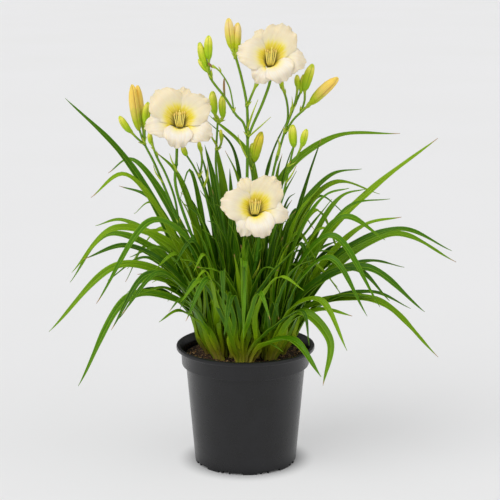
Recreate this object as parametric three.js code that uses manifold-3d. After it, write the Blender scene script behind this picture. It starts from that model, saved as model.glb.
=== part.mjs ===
// A flowering daylily clump in a round nursery pot. Millimetres, +Z up, origin under the middle of
// the pot. The blooms face the front (-Y) and the leaves lean out left (-X) and right (+X).
import * as THREE from "three";
import { mergeVertices } from "three/addons/utils/BufferGeometryUtils.js";
import Module from "manifold-3d";

const wasm = await Module();
wasm.setup();

// ---------------------------------------------------------------- driving dimensions
const POT = {
  height: 166, // foot to lip
  lipRadius: 95,
  lipHeight: 6,
  collarRadius: 87.5, // straight band under the lip
  collarHeight: 22,
  bodyRadius: 82, // just under the collar
  footRadius: 70,
  footRound: 2,
  lipRound: 1.2,
  wall: 2,
  floor: 3,
  sides: 36,
};
const DRAIN = { count: 8, width: 9, height: 4, depth: 9 }; // notches in the edge of the foot
const SOIL = {
  gap: 0.3, // to the wall and the floor of the pot
  edge: 150, // height at the wall
  mound: 3, // how much higher the middle is
  grain: 1.1,
  rings: 5,
  sides: 18,
};
const HOLE_GAP = 0.3; // all round a sheath or a stem
// A sheath stands broad side on to the middle of the clump, and leans away from it.
const SHEATH = {
  below: 22, // the soil
  above: 72,
  collar: 6, // height at which it starts to narrow
  half: 15, // half of its breadth
  thin: 0.62, // its depth as a share of its breadth
  top: 0.6, // its size at the top as a share of that at the soil
  lean: 14,
  sides: 8,
};
// Leaves leave a sheath one above another, spread over its breadth.
const ROOT = { lowest: 4, highest: 56, neck: 18, out: 4, fan: 10, stagger: 4, tuck: 0.7 };
const BLADE = { thick: 0.8, step: 58, fewest: 4, most: 6 };
const STEM = {
  sides: 5,
  branchSides: 4,
  budSides: 5,
  below: 30, // the first point of its line
  pedicel: 1.4, // radius at the end
  hole: 0.9, // room round a stem in the soil
  seat: 0.4, // from a pedicel to the foot of its bloom
};
const SEED = 20261;
const JOIN_TOLERANCE = 0.12; // slivers this thin are merged where blades cross

// ---------------------------------------------------------------- materials
const finish = (color, roughness, metalness = 0) =>
  new THREE.MeshStandardMaterial({ color, roughness, metalness });
const MATERIAL = {
  pot: finish(0x343436, 0.42),
  soil: finish(0x2e2019, 0.95),
  leaf: finish(0x43801c, 0.45),
  scape: finish(0x6c9430, 0.5),
  petal: finish(0xf6ead0, 0.6),
  stamen: finish(0xe6c95a, 0.55),
  creamBud: finish(0xeed99a, 0.5),
  yellowBud: finish(0xe0b445, 0.5),
  greenBud: finish(0xc9b83f, 0.5),
};

// ---------------------------------------------------------------- solids
// A closed three.js geometry as a solid that can be joined and cut.
function solid(geometry) {
  const bare = geometry.clone();
  bare.deleteAttribute("normal");
  bare.deleteAttribute("uv");
  const merged = mergeVertices(bare, 1e-3);
  return new wasm.Manifold(
    new wasm.Mesh({
      numProp: 3,
      vertProperties: new Float32Array(merged.attributes.position.array),
      triVerts: new Uint32Array(merged.index.array),
    }),
  );
}

// All of the solids joined in one body: a hollow that joining seals is filled, a loose sliver dropped.
function join(solids) {
  const whole = solids.reduce((sum, next) => sum.add(next)).simplify(JOIN_TOLERANCE);
  return whole.decompose().reduce((most, body) => (body.volume() > most.volume() ? body : most));
}

const plant = new THREE.Group();

// Adds a solid to the group as a named mesh.
function node(name, shape, material) {
  const mesh = shape.getMesh();
  const geometry = new THREE.BufferGeometry();
  geometry.setAttribute("position", new THREE.BufferAttribute(mesh.vertProperties, 3));
  geometry.setIndex(new THREE.BufferAttribute(mesh.triVerts, 1));
  geometry.computeVertexNormals();
  const piece = new THREE.Mesh(geometry, material);
  piece.name = name;
  plant.add(piece);
}

// A closed geometry from rings of points that have the same count, with flat ends.
// The diagonal runs the same way on every side, so both faces of a thin blade split alike.
function loft(rings) {
  const count = rings[0].length;
  const position = rings.flat().flatMap((p) => [p.x, p.y, p.z]);
  const index = [];
  for (let i = 0; i + 1 < rings.length; i++) {
    for (let j = 0; j < count; j++) {
      const a = i * count + j;
      const b = i * count + ((j + 1) % count);
      index.push(a, b, b + count, a, b + count, a + count);
    }
  }
  const last = (rings.length - 1) * count;
  for (let j = 1; j + 1 < count; j++) {
    index.push(0, j + 1, j, last, last + j, last + j + 1);
  }
  const geometry = new THREE.BufferGeometry();
  geometry.setAttribute("position", new THREE.Float32BufferAttribute(position, 3));
  geometry.setIndex(index);
  return geometry;
}

const vec = (x, y, z) => new THREE.Vector3(x, y, z);
const mix = (a, b, t) => a + (b - a) * t;

// A small repeatable source of random numbers between 0 and 1.
function draws(seed) {
  let state = seed % 2147483647;
  return () => {
    state = (state * 16807) % 2147483647;
    return (state - 1) / 2147483646;
  };
}

// ---------------------------------------------------------------- pot
function potShell() {
  const { height: h, wall, floor } = POT;
  const lipUnder = h - POT.lipHeight;
  const collarUnder = lipUnder - POT.collarHeight;
  const profile = [
    [0, 0],
    [POT.footRadius - POT.footRound, 0],
    [POT.footRadius, POT.footRound],
    [POT.bodyRadius, collarUnder - wall / 2],
    [POT.collarRadius, collarUnder + wall / 2],
    [POT.collarRadius + 1, lipUnder],
    [POT.lipRadius, lipUnder + POT.lipRound / 2],
    [POT.lipRadius, h - POT.lipRound],
    [POT.lipRadius - POT.lipRound, h],
    [POT.collarRadius + POT.lipRound, h],
    [POT.collarRadius - wall, h - wall],
    [POT.collarRadius - wall - 1, collarUnder],
    [POT.bodyRadius - wall, collarUnder - wall],
    [POT.footRadius - wall, floor],
    [0, floor],
  ].map(([r, z]) => new THREE.Vector2(r, z));
  return solid(new THREE.LatheGeometry(profile, POT.sides).rotateX(Math.PI / 2));
}

function drainNotch(turn) {
  const slot = new THREE.BoxGeometry(DRAIN.depth, DRAIN.width, DRAIN.height * 2);
  slot.translate(POT.footRadius - POT.footRound, 0, 0).rotateZ(turn);
  return solid(slot);
}

function pot() {
  let shell = potShell();
  for (let i = 0; i < DRAIN.count; i++) {
    shell = shell.subtract(drainNotch(((i + 0.5) / DRAIN.count) * 2 * Math.PI));
  }
  return shell;
}

// ---------------------------------------------------------------- leaves
// Each fan has a foot [x, y] on the soil and the leaves that grow from it. A leaf row is
// [width, turn, depth of its tip, [x, z] shoulder, [x, z] crest, [x, z] tip]; turn is how far its
// upper face is rolled towards the front, in degrees.
const FANS = {
  fan_left: {
    foot: [-48, 2],
    leaves: [
      [11, 40, 40, [-108, 325], [-168, 425], [-244, 499]],
      [11, 42, -50, [-88, 300], [-160, 409], [-203, 379]],
      [11, 45, -22, [-91, 297], [-175, 331], [-234, 271]],
      [10, 40, 24, [-106, 280], [-186, 316], [-242, 246]],
      [11, 40, -60, [-85, 250], [-168, 284], [-262, 199]],
      [8, 40, -38, [-86, 246], [-130, 264], [-159, 247]],
    ],
  },
  fan_left_front: {
    foot: [-32, -30],
    leaves: [
      [11, 35, -100, [-66, 310], [-120, 353], [-194, 248]],
      [11, 40, -90, [-88, 272], [-155, 320], [-211, 305]],
      [11, 35, -120, [-70, 227], [-150, 252], [-218, 142]],
      [10, 35, -150, [-78, 262], [-126, 289], [-171, 226]],
      [8, 30, -160, [-70, 245], [-111, 294], [-156, 250]],
      [8, 20, -100, [-52, 200], [-88, 234], [-113, 223]],
      [7, 20, -130, [-55, 212], [-82, 258], [-98, 245]],
      [8, 30, -100, [-66, 228], [-107, 266], [-136, 262]],
    ],
  },
  fan_front: {
    foot: [-2, -46],
    leaves: [
      [10, 15, -150, [-30, 222], [-62, 286], [-83, 254]],
      [11, 10, -120, [-10, 235], [-32, 290], [-62, 302]],
      [11, 10, -150, [-22, 212], [-55, 286], [-83, 262]],
      [11, 10, -110, [5, 225], [30, 278], [70, 329]],
      [10, 5, -70, [3, 225], [2, 285], [-6, 320]],
      [7, 10, -62, [-7, 172], [-16, 190], [-27, 203]],
      [12, 20, -160, [24, 186], [62, 202], [97, 167]],
      [7, 20, -150, [40, 216], [74, 243], [82, 206]],
      [6, 10, -90, [14, 180], [32, 187], [50, 180]],
    ],
  },
  fan_right_front: {
    foot: [30, -32],
    leaves: [
      [13, 45, -90, [62, 310], [104, 388], [134, 399]],
      [12, 45, -100, [81, 255], [158, 291], [234, 237]],
      [11, 40, -110, [70, 290], [114, 334], [175, 246]],
      [10, 40, -90, [90, 258], [145, 288], [189, 249]],
      [10, 35, -130, [66, 262], [110, 308], [157, 239]],
      [12, 30, -150, [74, 232], [110, 202], [100, 152]],
      [10, 30, -140, [64, 238], [98, 252], [131, 196]],
      [10, 30, -110, [60, 214], [101, 237], [139, 234]],
      [11, 35, -70, [34, 272], [66, 315], [113, 381]],
    ],
  },
  fan_right: {
    foot: [48, 2],
    leaves: [
      [11, 42, 30, [99, 299], [170, 376], [261, 446]],
      [10, 42, 20, [84, 290], [130, 368], [165, 378]],
      [7, 40, 0, [92, 284], [140, 358], [195, 368]],
      [11, 42, -20, [100, 272], [160, 335], [209, 347]],
      [13, 48, -50, [88, 290], [132, 351], [185, 322]],
      [11, 42, -30, [104, 274], [206, 331], [276, 303]],
      [11, 40, 20, [108, 258], [203, 317], [289, 276]],
      [11, 40, -60, [81, 217], [176, 235], [258, 164]],
      [7, 40, -30, [98, 222], [172, 244], [223, 223]],
      [10, 40, -10, [54, 280], [72, 350], [100, 386]],
    ],
  },
  fan_right_back: {
    foot: [34, 34],
    leaves: [
      [11, 40, 100, [46, 375], [120, 439], [216, 442]],
      [10, 40, 110, [68, 322], [120, 384], [164, 390]],
      [10, 40, 120, [70, 318], [125, 373], [191, 352]],
      [8, 40, 120, [90, 232], [172, 260], [228, 245]],
      [7, 40, 50, [60, 290], [84, 382], [104, 443]],
    ],
  },
  fan_back: {
    foot: [0, 46],
    leaves: [
      [11, 15, 75, [14, 340], [2, 420], [-50, 471]],
      [7, 15, 90, [-6, 320], [-18, 425], [-52, 460]],
      [10, 15, 65, [18, 320], [36, 416], [56, 463]],
      [8, 15, 60, [2, 310], [-12, 390], [-28, 424]],
    ],
  },
  fan_left_back: {
    foot: [-34, 34],
    leaves: [
      [11, 40, 110, [-84, 300], [-160, 406], [-194, 384]],
      [10, 40, 120, [-86, 270], [-135, 350], [-180, 364]],
      [7, 35, 130, [-78, 255], [-134, 341], [-160, 321]],
      [10, 40, 100, [-95, 270], [-172, 321], [-213, 310]],
      [9, 35, 130, [-84, 240], [-138, 282], [-174, 221]],
      [11, 25, 55, [-30, 270], [-42, 375], [-56, 433]],
      [11, 15, 66, [-27, 280], [-30, 370], [-42, 438]],
      [10, 35, 70, [-62, 290], [-95, 392], [-124, 421]],
      [8, 35, 60, [-56, 300], [-77, 398], [-91, 355]],
    ],
  },
};

// Leaves that fill a fan out by a rule: how many arch over and how many stand up, and the middle
// direction and spread of both in degrees.
const FILL = {
  fan_left: { arching: 1, upright: 2, toward: 180, spread: 14 },
  fan_left_front: { arching: 0, upright: 2, toward: 225, spread: 14 },
  fan_front: { arching: 1, upright: 3, toward: 270, spread: 14 },
  fan_right_front: { arching: 0, upright: 2, toward: 315, spread: 14 },
  fan_right: { arching: 0, upright: 2, toward: 0, spread: 14 },
  fan_right_back: { arching: 3, upright: 3, toward: 45, spread: 20 },
  fan_back: { arching: 4, upright: 2, toward: 90, spread: 24 },
  fan_left_back: { arching: 3, upright: 1, toward: 135, spread: 18 },
};
const ARCHING = { reach: [110, 210], crest: [250, 350], droop: [25, 110], bend: 0.6, width: [10, 12] };
const UPRIGHT = { reach: [35, 85], crest: [270, 360], droop: [-25, -5], bend: 0.72, width: [9, 11] };

// The rows that a rule adds to a fan.
function fillRows(foot, { toward, spread }, count, kind, random) {
  const draw = ([low, high]) => mix(low, high, random());
  return Array.from({ length: count }, (_, i) => {
    const share = (2 * i + 1) / count - 1;
    const turn = THREE.MathUtils.degToRad(toward + spread * share);
    const reach = draw(kind.reach);
    const crest = draw(kind.crest);
    const along = (r) => foot[0] + r * Math.cos(turn);
    return [
      draw(kind.width),
      draw([10, 35]),
      foot[1] + reach * Math.sin(turn),
      [along(reach * 0.22), mix(SOIL.edge, crest, 0.6)],
      [along(reach * kind.bend), crest],
      [along(reach), crest - draw(kind.droop)],
    ];
  });
}

// The line that a leaf follows from inside its sheath to its tip.
function leafLine(foot, [, , depth, shoulder, crest, tip], rise, rank) {
  const [x, y] = foot;
  const start = [x, SOIL.edge];
  const steps = [start, shoulder, crest, tip];
  const length = [0];
  for (let i = 1; i < steps.length; i++) {
    const [dx, dz] = [steps[i][0] - steps[i - 1][0], steps[i][1] - steps[i - 1][1]];
    length.push(length[i - 1] + Math.hypot(dx, dz));
  }
  const plan = vec(tip[0] - x, depth - y, 0).normalize();
  const broad = vec(-y, x, 0).normalize();
  const aside = ROOT.fan * plan.dot(broad) + ROOT.stagger * ((rank % 3) - 1);
  const root = sheathMiddle(foot, rise).addScaledVector(broad, ROOT.tuck * aside);
  const neck = sheathMiddle(foot, rise + ROOT.neck);
  neck.addScaledVector(plan, ROOT.out).addScaledVector(broad, aside);
  const through = steps.slice(1).map(([px, pz], i) => {
    const share = length[i + 1] / length[3];
    return vec(px, mix(y, depth, share ** 1.25), pz);
  });
  return new THREE.CatmullRomCurve3([root, neck, ...through], false, "centripetal");
}

// The middle of a sheath at a height over the soil: it leans away from the middle of the clump.
function sheathMiddle([x, y], rise) {
  const lean = (SHEATH.lean * Math.max(0, rise)) / (SHEATH.above * Math.hypot(x, y));
  return vec(x * (1 + lean), y * (1 + lean), SOIL.edge + rise);
}

// How wide a blade is along its length, as a share of its full width.
function bladeWidth(t) {
  const root = 1 + 0.25 * Math.max(0, 1 - t / 0.3);
  const taper = 1 - Math.max(0, (t - 0.35) / 0.65) ** 2;
  return root * Math.max(0.1, taper ** 0.8);
}

// A strap of even thickness along a line, its flat side square to the way that it leans.
function strap(line, width, turn, segments) {
  const from = line.getPointAt(0);
  const to = line.getPointAt(1);
  const lean = vec(to.x - from.x, to.y - from.y, 0).normalize();
  const across = lean.clone().cross(vec(0, 0, 1));
  const side = across.y > 0 ? -1 : 1;
  const angle = THREE.MathUtils.degToRad(turn) * side;
  const rings = [];
  for (let i = 0; i <= segments; i++) {
    const t = i / segments;
    const point = line.getPointAt(t);
    const along = line.getTangentAt(t);
    const flat = across.clone().addScaledVector(along, -across.dot(along)).normalize();
    const up = flat.clone().cross(along).normalize();
    const w = flat.clone().multiplyScalar(Math.cos(angle)).addScaledVector(up, -Math.sin(angle));
    const n = w.clone().cross(along).normalize();
    w.multiplyScalar((width / 2) * bladeWidth(t));
    n.multiplyScalar(BLADE.thick / 2);
    const corner = (a, b) => point.clone().addScaledVector(w, a).addScaledVector(n, b);
    rings.push([corner(1, 1), corner(1, -1), corner(-1, -1), corner(-1, 1)]);
  }
  return solid(loft(rings));
}

// A plug of the sheath's outline through heights over the soil, grown all round by a gap.
function sheathPlug(foot, heights, gap, scales) {
  const ring = (rise, scale) => {
    const { x, y, z } = sheathMiddle(foot, rise);
    return Array.from({ length: SHEATH.sides }, (_, i) => {
      const a = (-i / SHEATH.sides) * 2 * Math.PI;
      const wide = SHEATH.half * scale + gap;
      const thin = SHEATH.half * SHEATH.thin * scale + gap;
      return spun(foot, x, y, Math.cos(a) * wide, Math.sin(a) * thin, z);
    });
  };
  return solid(loft(heights.map((rise, i) => ring(rise, scales[i]))));
}

// A point [along, across] the sheath, whose broad side faces the middle of the pot.
function spun(foot, x, y, along, across, z) {
  const turn = Math.atan2(foot[1], foot[0]);
  const [c, s] = [Math.cos(turn), Math.sin(turn)];
  return vec(x + across * c - along * s, y + across * s + along * c, z);
}

// How steeply a leaf rises to its shoulder: the steepest stand in the middle of a fan.
function steepness(foot, [, , , shoulder]) {
  return (shoulder[1] - SOIL.edge) / Math.abs(shoulder[0] - foot[0]);
}

function fan(name) {
  const { foot, leaves } = FANS[name];
  const random = draws(SEED + Object.keys(FANS).indexOf(name) * 97);
  const fill = FILL[name];
  const rows = [
    ...leaves,
    ...fillRows(foot, fill, fill.arching, ARCHING, random),
    ...fillRows(foot, fill, fill.upright, UPRIGHT, random),
  ];
  const heights = [-SHEATH.below, SHEATH.collar, SHEATH.above];
  const sheath = sheathPlug(foot, heights, 0, [1, 1, SHEATH.top]);
  rows.sort((a, b) => steepness(foot, b) - steepness(foot, a));
  const blade = (row, i) => {
    const rise = mix(ROOT.highest, ROOT.lowest, i / (rows.length - 1));
    const line = leafLine(foot, row, rise, i);
    const steps = Math.round(line.getLength() / BLADE.step);
    return strap(line, row[0], row[1], Math.max(BLADE.fewest, Math.min(BLADE.most, steps)));
  };
  return join([sheath, ...rows.map(blade)]);
}

// ---------------------------------------------------------------- stems
// A round bar along a smooth line through points, thinner towards its end.
function bar(points, from, to, sides, segments) {
  const line = new THREE.CatmullRomCurve3(points.map((p) => vec(...p)), false, "centripetal");
  const rings = [];
  for (let i = 0; i <= segments; i++) {
    const t = i / segments;
    const middle = line.getPointAt(t);
    const along = line.getTangentAt(t);
    const a = vec(0, 1, 0).cross(along).normalize();
    const b = along.clone().cross(a);
    const r = mix(from, to, t);
    rings.push(
      Array.from({ length: sides }, (_, k) => {
        const turn = (k / sides) * 2 * Math.PI;
        return middle
          .clone()
          .addScaledVector(a, r * Math.cos(turn))
          .addScaledVector(b, r * Math.sin(turn));
      }),
    );
  }
  return solid(loft(rings));
}

// A bud from its base to its tip: narrow at the foot, fullest past the middle, blunt at the end.
const BUD_FORM = [
  [0, 0.36],
  [0.3, 0.8],
  [0.7, 1],
  [0.92, 0.66],
  [1, 0.2],
];
function bud([base, tip, width], sides = 6) {
  const from = vec(...base);
  const along = vec(...tip).sub(from);
  const axis = along.clone().normalize();
  const a = vec(0, 1, 0).cross(axis).normalize();
  const b = axis.clone().cross(a);
  const rings = BUD_FORM.map(([t, share]) =>
    Array.from({ length: sides }, (_, k) => {
      const turn = (k / sides) * 2 * Math.PI;
      const r = (width / 2) * share;
      return from
        .clone()
        .addScaledVector(along, t)
        .addScaledVector(a, r * Math.cos(turn))
        .addScaledVector(b, r * Math.sin(turn));
    }),
  );
  return solid(loft(rings));
}

// A small leaf-like bract along three points.
function bract([from, mid, to, width]) {
  const line = new THREE.CatmullRomCurve3([vec(...from), vec(...mid), vec(...to)]);
  return strap(line, width, 60, 2);
}

// Every stem: its line from the soil up, its radius at the foot and the top, its branches, its
// bracts as [from, mid, to, width], and its small green buds as [base, tip, width].
const SCAPES = {
  scape_main: {
    line: [
      [2, 2, 156], [2, 1, 230], [2, 0, 366], [3, 0, 455],
      [2, 0, 495], [-6, 0, 535], [-13, 0, 560],
    ],
    radius: [2.7, 1.7],
    bloom: ["top", [3, 0, 450], [9, -1, 466], [24, 1, 500], [33, 5, 528]],
    branches: [
      [[2, 0, 492], [9, -4, 510], [15, -6, 524]],
      [[3, 0, 452], [-3, -3, 472], [-12, -5, 482], [-27, -7, 506], [-45, -7, 530], [-52, -6, 548]],
      [[-15, -5, 485], [-17, -7, 500], [-22, -9, 522], [-35, -9, 542], [-43, -9, 548]],
      [[-45, -7, 530], [-48, -7, 545], [-48, -7, 560]],
      [[-13, 0, 556], [-15, 0, 564], [-17, 0, 569]],
      [[-13, 0, 556], [-12, 0, 562], [-11, 0, 568]],
    ],
    bracts: [
      [[3, 0, 460], [11, -4, 486], [17, -5, 503], 6],
      [[3, 0, 450], [20, -4, 466], [34, -6, 480], 6],
      [[3, 0, 420], [-6, -4, 440], [-10, -6, 456], 5],
    ],
    buds: [
      [[-48, -7, 557], [-48, -7, 587], 9],
      [[-52, -6, 545], [-60, -6, 578], 8],
      [[-50, -6, 540], [-62, -7, 556], 5],
      [[15, -6, 521], [18, -7, 534], 4.5],
      [[-27, -8, 506], [-28, -10, 531], 3],
      [[-43, -9, 546], [-49, -10, 552], 3.5],
    ],
  },
  scape_right: {
    line: [
      [25, 10, 156], [26, 12, 230], [31, 12, 337], [37, 11, 399],
      [49, 10, 445], [58, 10, 473], [74, 10, 512],
    ],
    radius: [2.5, 1.4],
    branches: [
      [[53, 10, 455], [64, 7, 474], [78, 5, 488], [86, 4, 496]],
      [[74, 6, 484], [79, 8, 500], [79, 9, 516]],
      [[52, 10, 455], [57, 13, 478], [55, 14, 500], [49, 14, 518]],
      [[62, 10, 484], [67, 8, 500], [70, 8, 520]],
    ],
    bracts: [
      [[42, 11, 418], [46, 6, 438], [43, 4, 452], 6],
      [[60, 9, 478], [63, 5, 494], [62, 4, 506], 4],
    ],
    buds: [
      [[79, 9, 514], [89, 9, 548], 10],
      [[70, 8, 518], [69, 8, 534], 6],
      [[74, 10, 510], [77, 11, 534], 5],
      [[49, 14, 516], [48, 14, 529], 5],
    ],
  },
  scape_left: {
    line: [
      [-22, 6, 164], [-25, 7, 185], [-41, 10, 228], [-84, 12, 318],
      [-111, 11, 386], [-124, 10, 418], [-136, 10, 442], [-142, 10, 460],
    ],
    radius: [2.5, 1.5],
    branches: [
      [[-90, 12, 330], [-96, 4, 370], [-108, 1, 404], [-118, 0, 424], [-126, 0, 446]],
      [[-136, 10, 442], [-135, 7, 456], [-133, 5, 472]],
      [[-135, 10, 440], [-146, 8, 450], [-155, 7, 460]],
      [[-136, 10, 443], [-137, 14, 455], [-137.5, 17.3, 465]],
    ],
    bracts: [[[-111, 11, 386], [-121, 6, 402], [-124, 4, 414], 5]],
    buds: [
      [[-133, 5, 469], [-130, 4, 498], 8.5],
      [[-154, 7, 458], [-168, 6, 479], 7.5],
      [[-126, 0, 443], [-128, -1, 458], 5.5],
    ],
  },
  scape_bloom_left: {
    line: [
      [-14, -6, 164], [-17, -7, 185], [-37, -10, 236],
      [-76, -10, 330], [-94, -8, 392], [-92, -3, 420],
    ],
    radius: [2.4, 1.9],
    bloom: ["left", [-92.5, -4, 414], [-92, -2, 424], [-91, 3, 446]],
    branches: [],
    bracts: [[[-92, -7, 405], [-98, -12, 420], [-101, -14, 432], 5]],
    buds: [],
  },
  scape_bud_left: {
    line: [[-10, 14, 156], [-24, 14, 240], [-48, 6, 347], [-56, 2, 381], [-69, -2, 412], [-80, -4, 430]],
    radius: [2.2, 1.3],
    branches: [[[-62, 0, 396], [-58, -3, 420], [-60, -4, 438]]],
    bracts: [[[-56, 2, 381], [-50, -4, 400], [-51, -6, 416], 5]],
    buds: [
      [[-79, -4, 428], [-84, -5, 441], 6],
      [[-60, -4, 435], [-62, -4, 447], 4.5],
    ],
  },
  scape_pair: {
    line: [[-6, 24, 156], [-14, 24, 240], [-34, 22, 360], [-40, 20, 411], [-39, 20, 440], [-37, 20, 474]],
    radius: [2.3, 1.4],
    branches: [
      [[-37, 20, 470], [-40, 18, 476], [-41, 17, 483]],
      [[-37, 20, 468], [-32, 20, 472], [-30, 20, 478]],
      [[-39, 20, 430], [-33, 15, 440], [-32, 13, 450]],
    ],
    bracts: [[[-39, 20, 436], [-46, 14, 450], [-48, 12, 462], 5]],
    buds: [
      [[-41, 17, 481], [-44, 16, 511], 9],
      [[-30, 20, 476], [-31, 20, 505], 8],
      [[-32, 13, 448], [-33, 12, 460], 4],
    ],
  },
  scape_right_low: {
    line: [[12, -8, 156], [20, -10, 240], [42, -12, 340], [54, -8, 389], [59, -6, 415], [65, -5, 442]],
    radius: [2.3, 1.3],
    branches: [[[58, -6, 412], [68, -9, 426], [76, -10, 444]]],
    bracts: [[[54, -8, 389], [62, -14, 402], [68, -16, 416], 5]],
    buds: [
      [[65, -5, 440], [63, -5, 469], 9],
      [[76, -10, 442], [81, -10, 464], 7.5],
    ],
  },
  scape_mid: {
    line: [[10, 18, 156], [11, 18, 260], [10, 14, 360], [10, 8, 400], [12, 5, 418]],
    radius: [2.2, 1.4],
    branches: [[[10, 9, 404], [7, 5, 418], [8, 5, 430]]],
    bracts: [],
    buds: [[[8, 5, 428], [10, 5, 443], 5.5]],
  },
  scape_bloom_centre: {
    line: [[-6, -18, 160], [-1, -28, 200], [6, -46, 250], [15, -57, 300]],
    radius: [2.4, 1.9],
    bloom: ["centre", [14, -56, 294], [16, -58, 310], [18, -61, 340]],
    branches: [],
    bracts: [[[10, -54, 270], [17, -63, 285], [20, -68, 300], 5]],
    buds: [],
  },
};

// Large buds that stand on a pedicel's end: [base, tip, width], material.
const BUDS = {
  bud_top_a: [[[-17.1, 0, 569.6], [-22, -1, 609], 10.5], MATERIAL.creamBud],
  bud_top_b: [[[-10.8, 0, 568.6], [-9.5, 1, 603], 9.5], MATERIAL.creamBud],
  bud_left_a: [[[-143, 10, 460.6], [-151, 9, 520], 10.5], MATERIAL.yellowBud],
  bud_left_b: [[[-137.6, 17.4, 465.6], [-144, 19, 518], 10], MATERIAL.yellowBud],
  bud_right: [[[86.6, 3.9, 496.4], [122, 0, 531], 11.5], MATERIAL.yellowBud],
  bud_mid: [[[12.3, 4.6, 418.7], [22, 3, 458], 10.5], MATERIAL.greenBud],
};

// The pedicel of a bloom: from points on its stem into the foot of its tube, in line with its axis.
function pedicel([name, ...points]) {
  const { foot, axis } = bloomFrame(BLOOMS[name]);
  const behind = (gap) => foot.clone().addScaledVector(axis, -gap).toArray();
  return [...points, behind(9), behind(STEM.seat)];
}

function scape({ line, radius, bloom, branches, bracts, buds }) {
  const [x, y, z] = line[0];
  const below = [x, y, z - STEM.below];
  const main = bar([below, ...line], radius[0], radius[1], STEM.sides, line.length + 2);
  const twigs = branches.map((b) => bar(b, radius[1], STEM.pedicel, STEM.branchSides, b.length));
  if (bloom) twigs.push(bar(pedicel(bloom), radius[1], STEM.pedicel * 1.3, STEM.sides, 7));
  return join([main, ...twigs, ...bracts.map(bract), ...buds.map((b) => bud(b, STEM.budSides))]);
}

// ---------------------------------------------------------------- blooms
// Each bloom: the middle of its open face, the way that it faces, and its petals and sepals as
// [direction in degrees, reach, width]. A direction of 0 is to the right and 90 is up.
const BLOOMS = {
  left: {
    middle: [-86, -45, 482],
    faces: [0.02, -0.93, 0.34],
    petals: [[36, 47, 38], [130, 50, 42], [265, 37, 34]],
    sepals: [[82, 46, 28], [192, 47, 28], [333, 48, 30]],
  },
  top: {
    middle: [34, -30, 562],
    faces: [0.06, -0.93, 0.36],
    petals: [[64, 49, 42], [169, 45, 36], [304, 36, 38]],
    sepals: [[354, 47, 31], [113, 43, 28], [240, 39, 28]],
  },
  centre: {
    middle: [13, -110, 377],
    faces: [0.03, -0.95, 0.3],
    petals: [[55, 48, 44], [168, 45, 42], [288, 39, 38]],
    sepals: [[113, 44, 28], [243, 40, 30], [347, 45, 28]],
  },
};
const TEPAL = {
  depth: 44, // from the foot of the tube to the open face
  thick: 0.8,
  columns: 4,
  mouth: 11, // radius where the throat opens out
  // distance from the axis and height over the foot, up to the mouth of the throat
  throat: [[2.2, 13], [5.5, 24], [11, 35]],
  // the rest, as shares of the way from the mouth to the tip, with the height
  blade: [[0.28, 41.5], [0.65, 45], [1, 42]],
};
// Three broad petals lie in front of three narrower sepals.
const PETAL = { behind: 0, ruffle: 2.6, share: [0.12, 0.38, 0.8, 1, 0.86, 0.34] };
const SEPAL = { behind: 3, ruffle: 1.2, share: [0.16, 0.44, 0.82, 1, 0.8, 0.26] };

// The frame of a bloom: its axis, and two directions across it, to the right and up.
function bloomFrame({ middle, faces }) {
  const axis = vec(...faces).normalize();
  const right = vec(1, 0, 0).addScaledVector(axis, -axis.x).normalize();
  const up = axis.clone().cross(right);
  const foot = vec(...middle).addScaledVector(axis, -TEPAL.depth);
  return { axis, right, up, foot };
}

// One tepal as a thin waved blade. It wraps round the axis in the throat and opens out flat, and a
// sepal lies behind the petals, which is outside them in the throat.
function tepal(frame, [direction, reach, width], kind, random) {
  const { axis, right, up, foot } = frame;
  const turn = THREE.MathUtils.degToRad(direction);
  const phase = random() * Math.PI;
  const blade = TEPAL.blade.map(([share, h]) => [mix(TEPAL.mouth, reach, share), h]);
  const run = [...TEPAL.throat, ...blade];
  const last = run.length - 1;
  const at = (i) => run[Math.max(0, Math.min(last, i))];
  const rows = run.map(([r, h], i) => {
    const [dr, dh] = [at(i + 1)[0] - at(i - 1)[0], at(i + 1)[1] - at(i - 1)[1]];
    const scale = kind.behind / Math.hypot(dr, dh);
    const half = (width / 2) * kind.share[i];
    const open = i / last;
    return Array.from({ length: TEPAL.columns }, (_, j) => {
      const s = (j / (TEPAL.columns - 1)) * 2 - 1;
      const radius = r + dh * scale - 0.04 * reach * s * s * open;
      const wrap = turn + (s * half) / Math.max(radius, half * 0.95);
      const flat = vec(Math.cos(turn), Math.sin(turn), 0).multiplyScalar(radius);
      flat.add(vec(-Math.sin(turn), Math.cos(turn), 0).multiplyScalar(s * half));
      flat.lerp(vec(Math.cos(wrap), Math.sin(wrap), 0).multiplyScalar(radius), 1 - open);
      const wave = kind.ruffle * Math.abs(s) * Math.sin(phase + i * 2.1 + s * 1.3) * open;
      return foot
        .clone()
        .addScaledVector(right, flat.x)
        .addScaledVector(up, flat.y)
        .addScaledVector(axis, h - dr * scale + wave);
    });
  });
  return solid(sheet(rows, TEPAL.thick));
}

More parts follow.
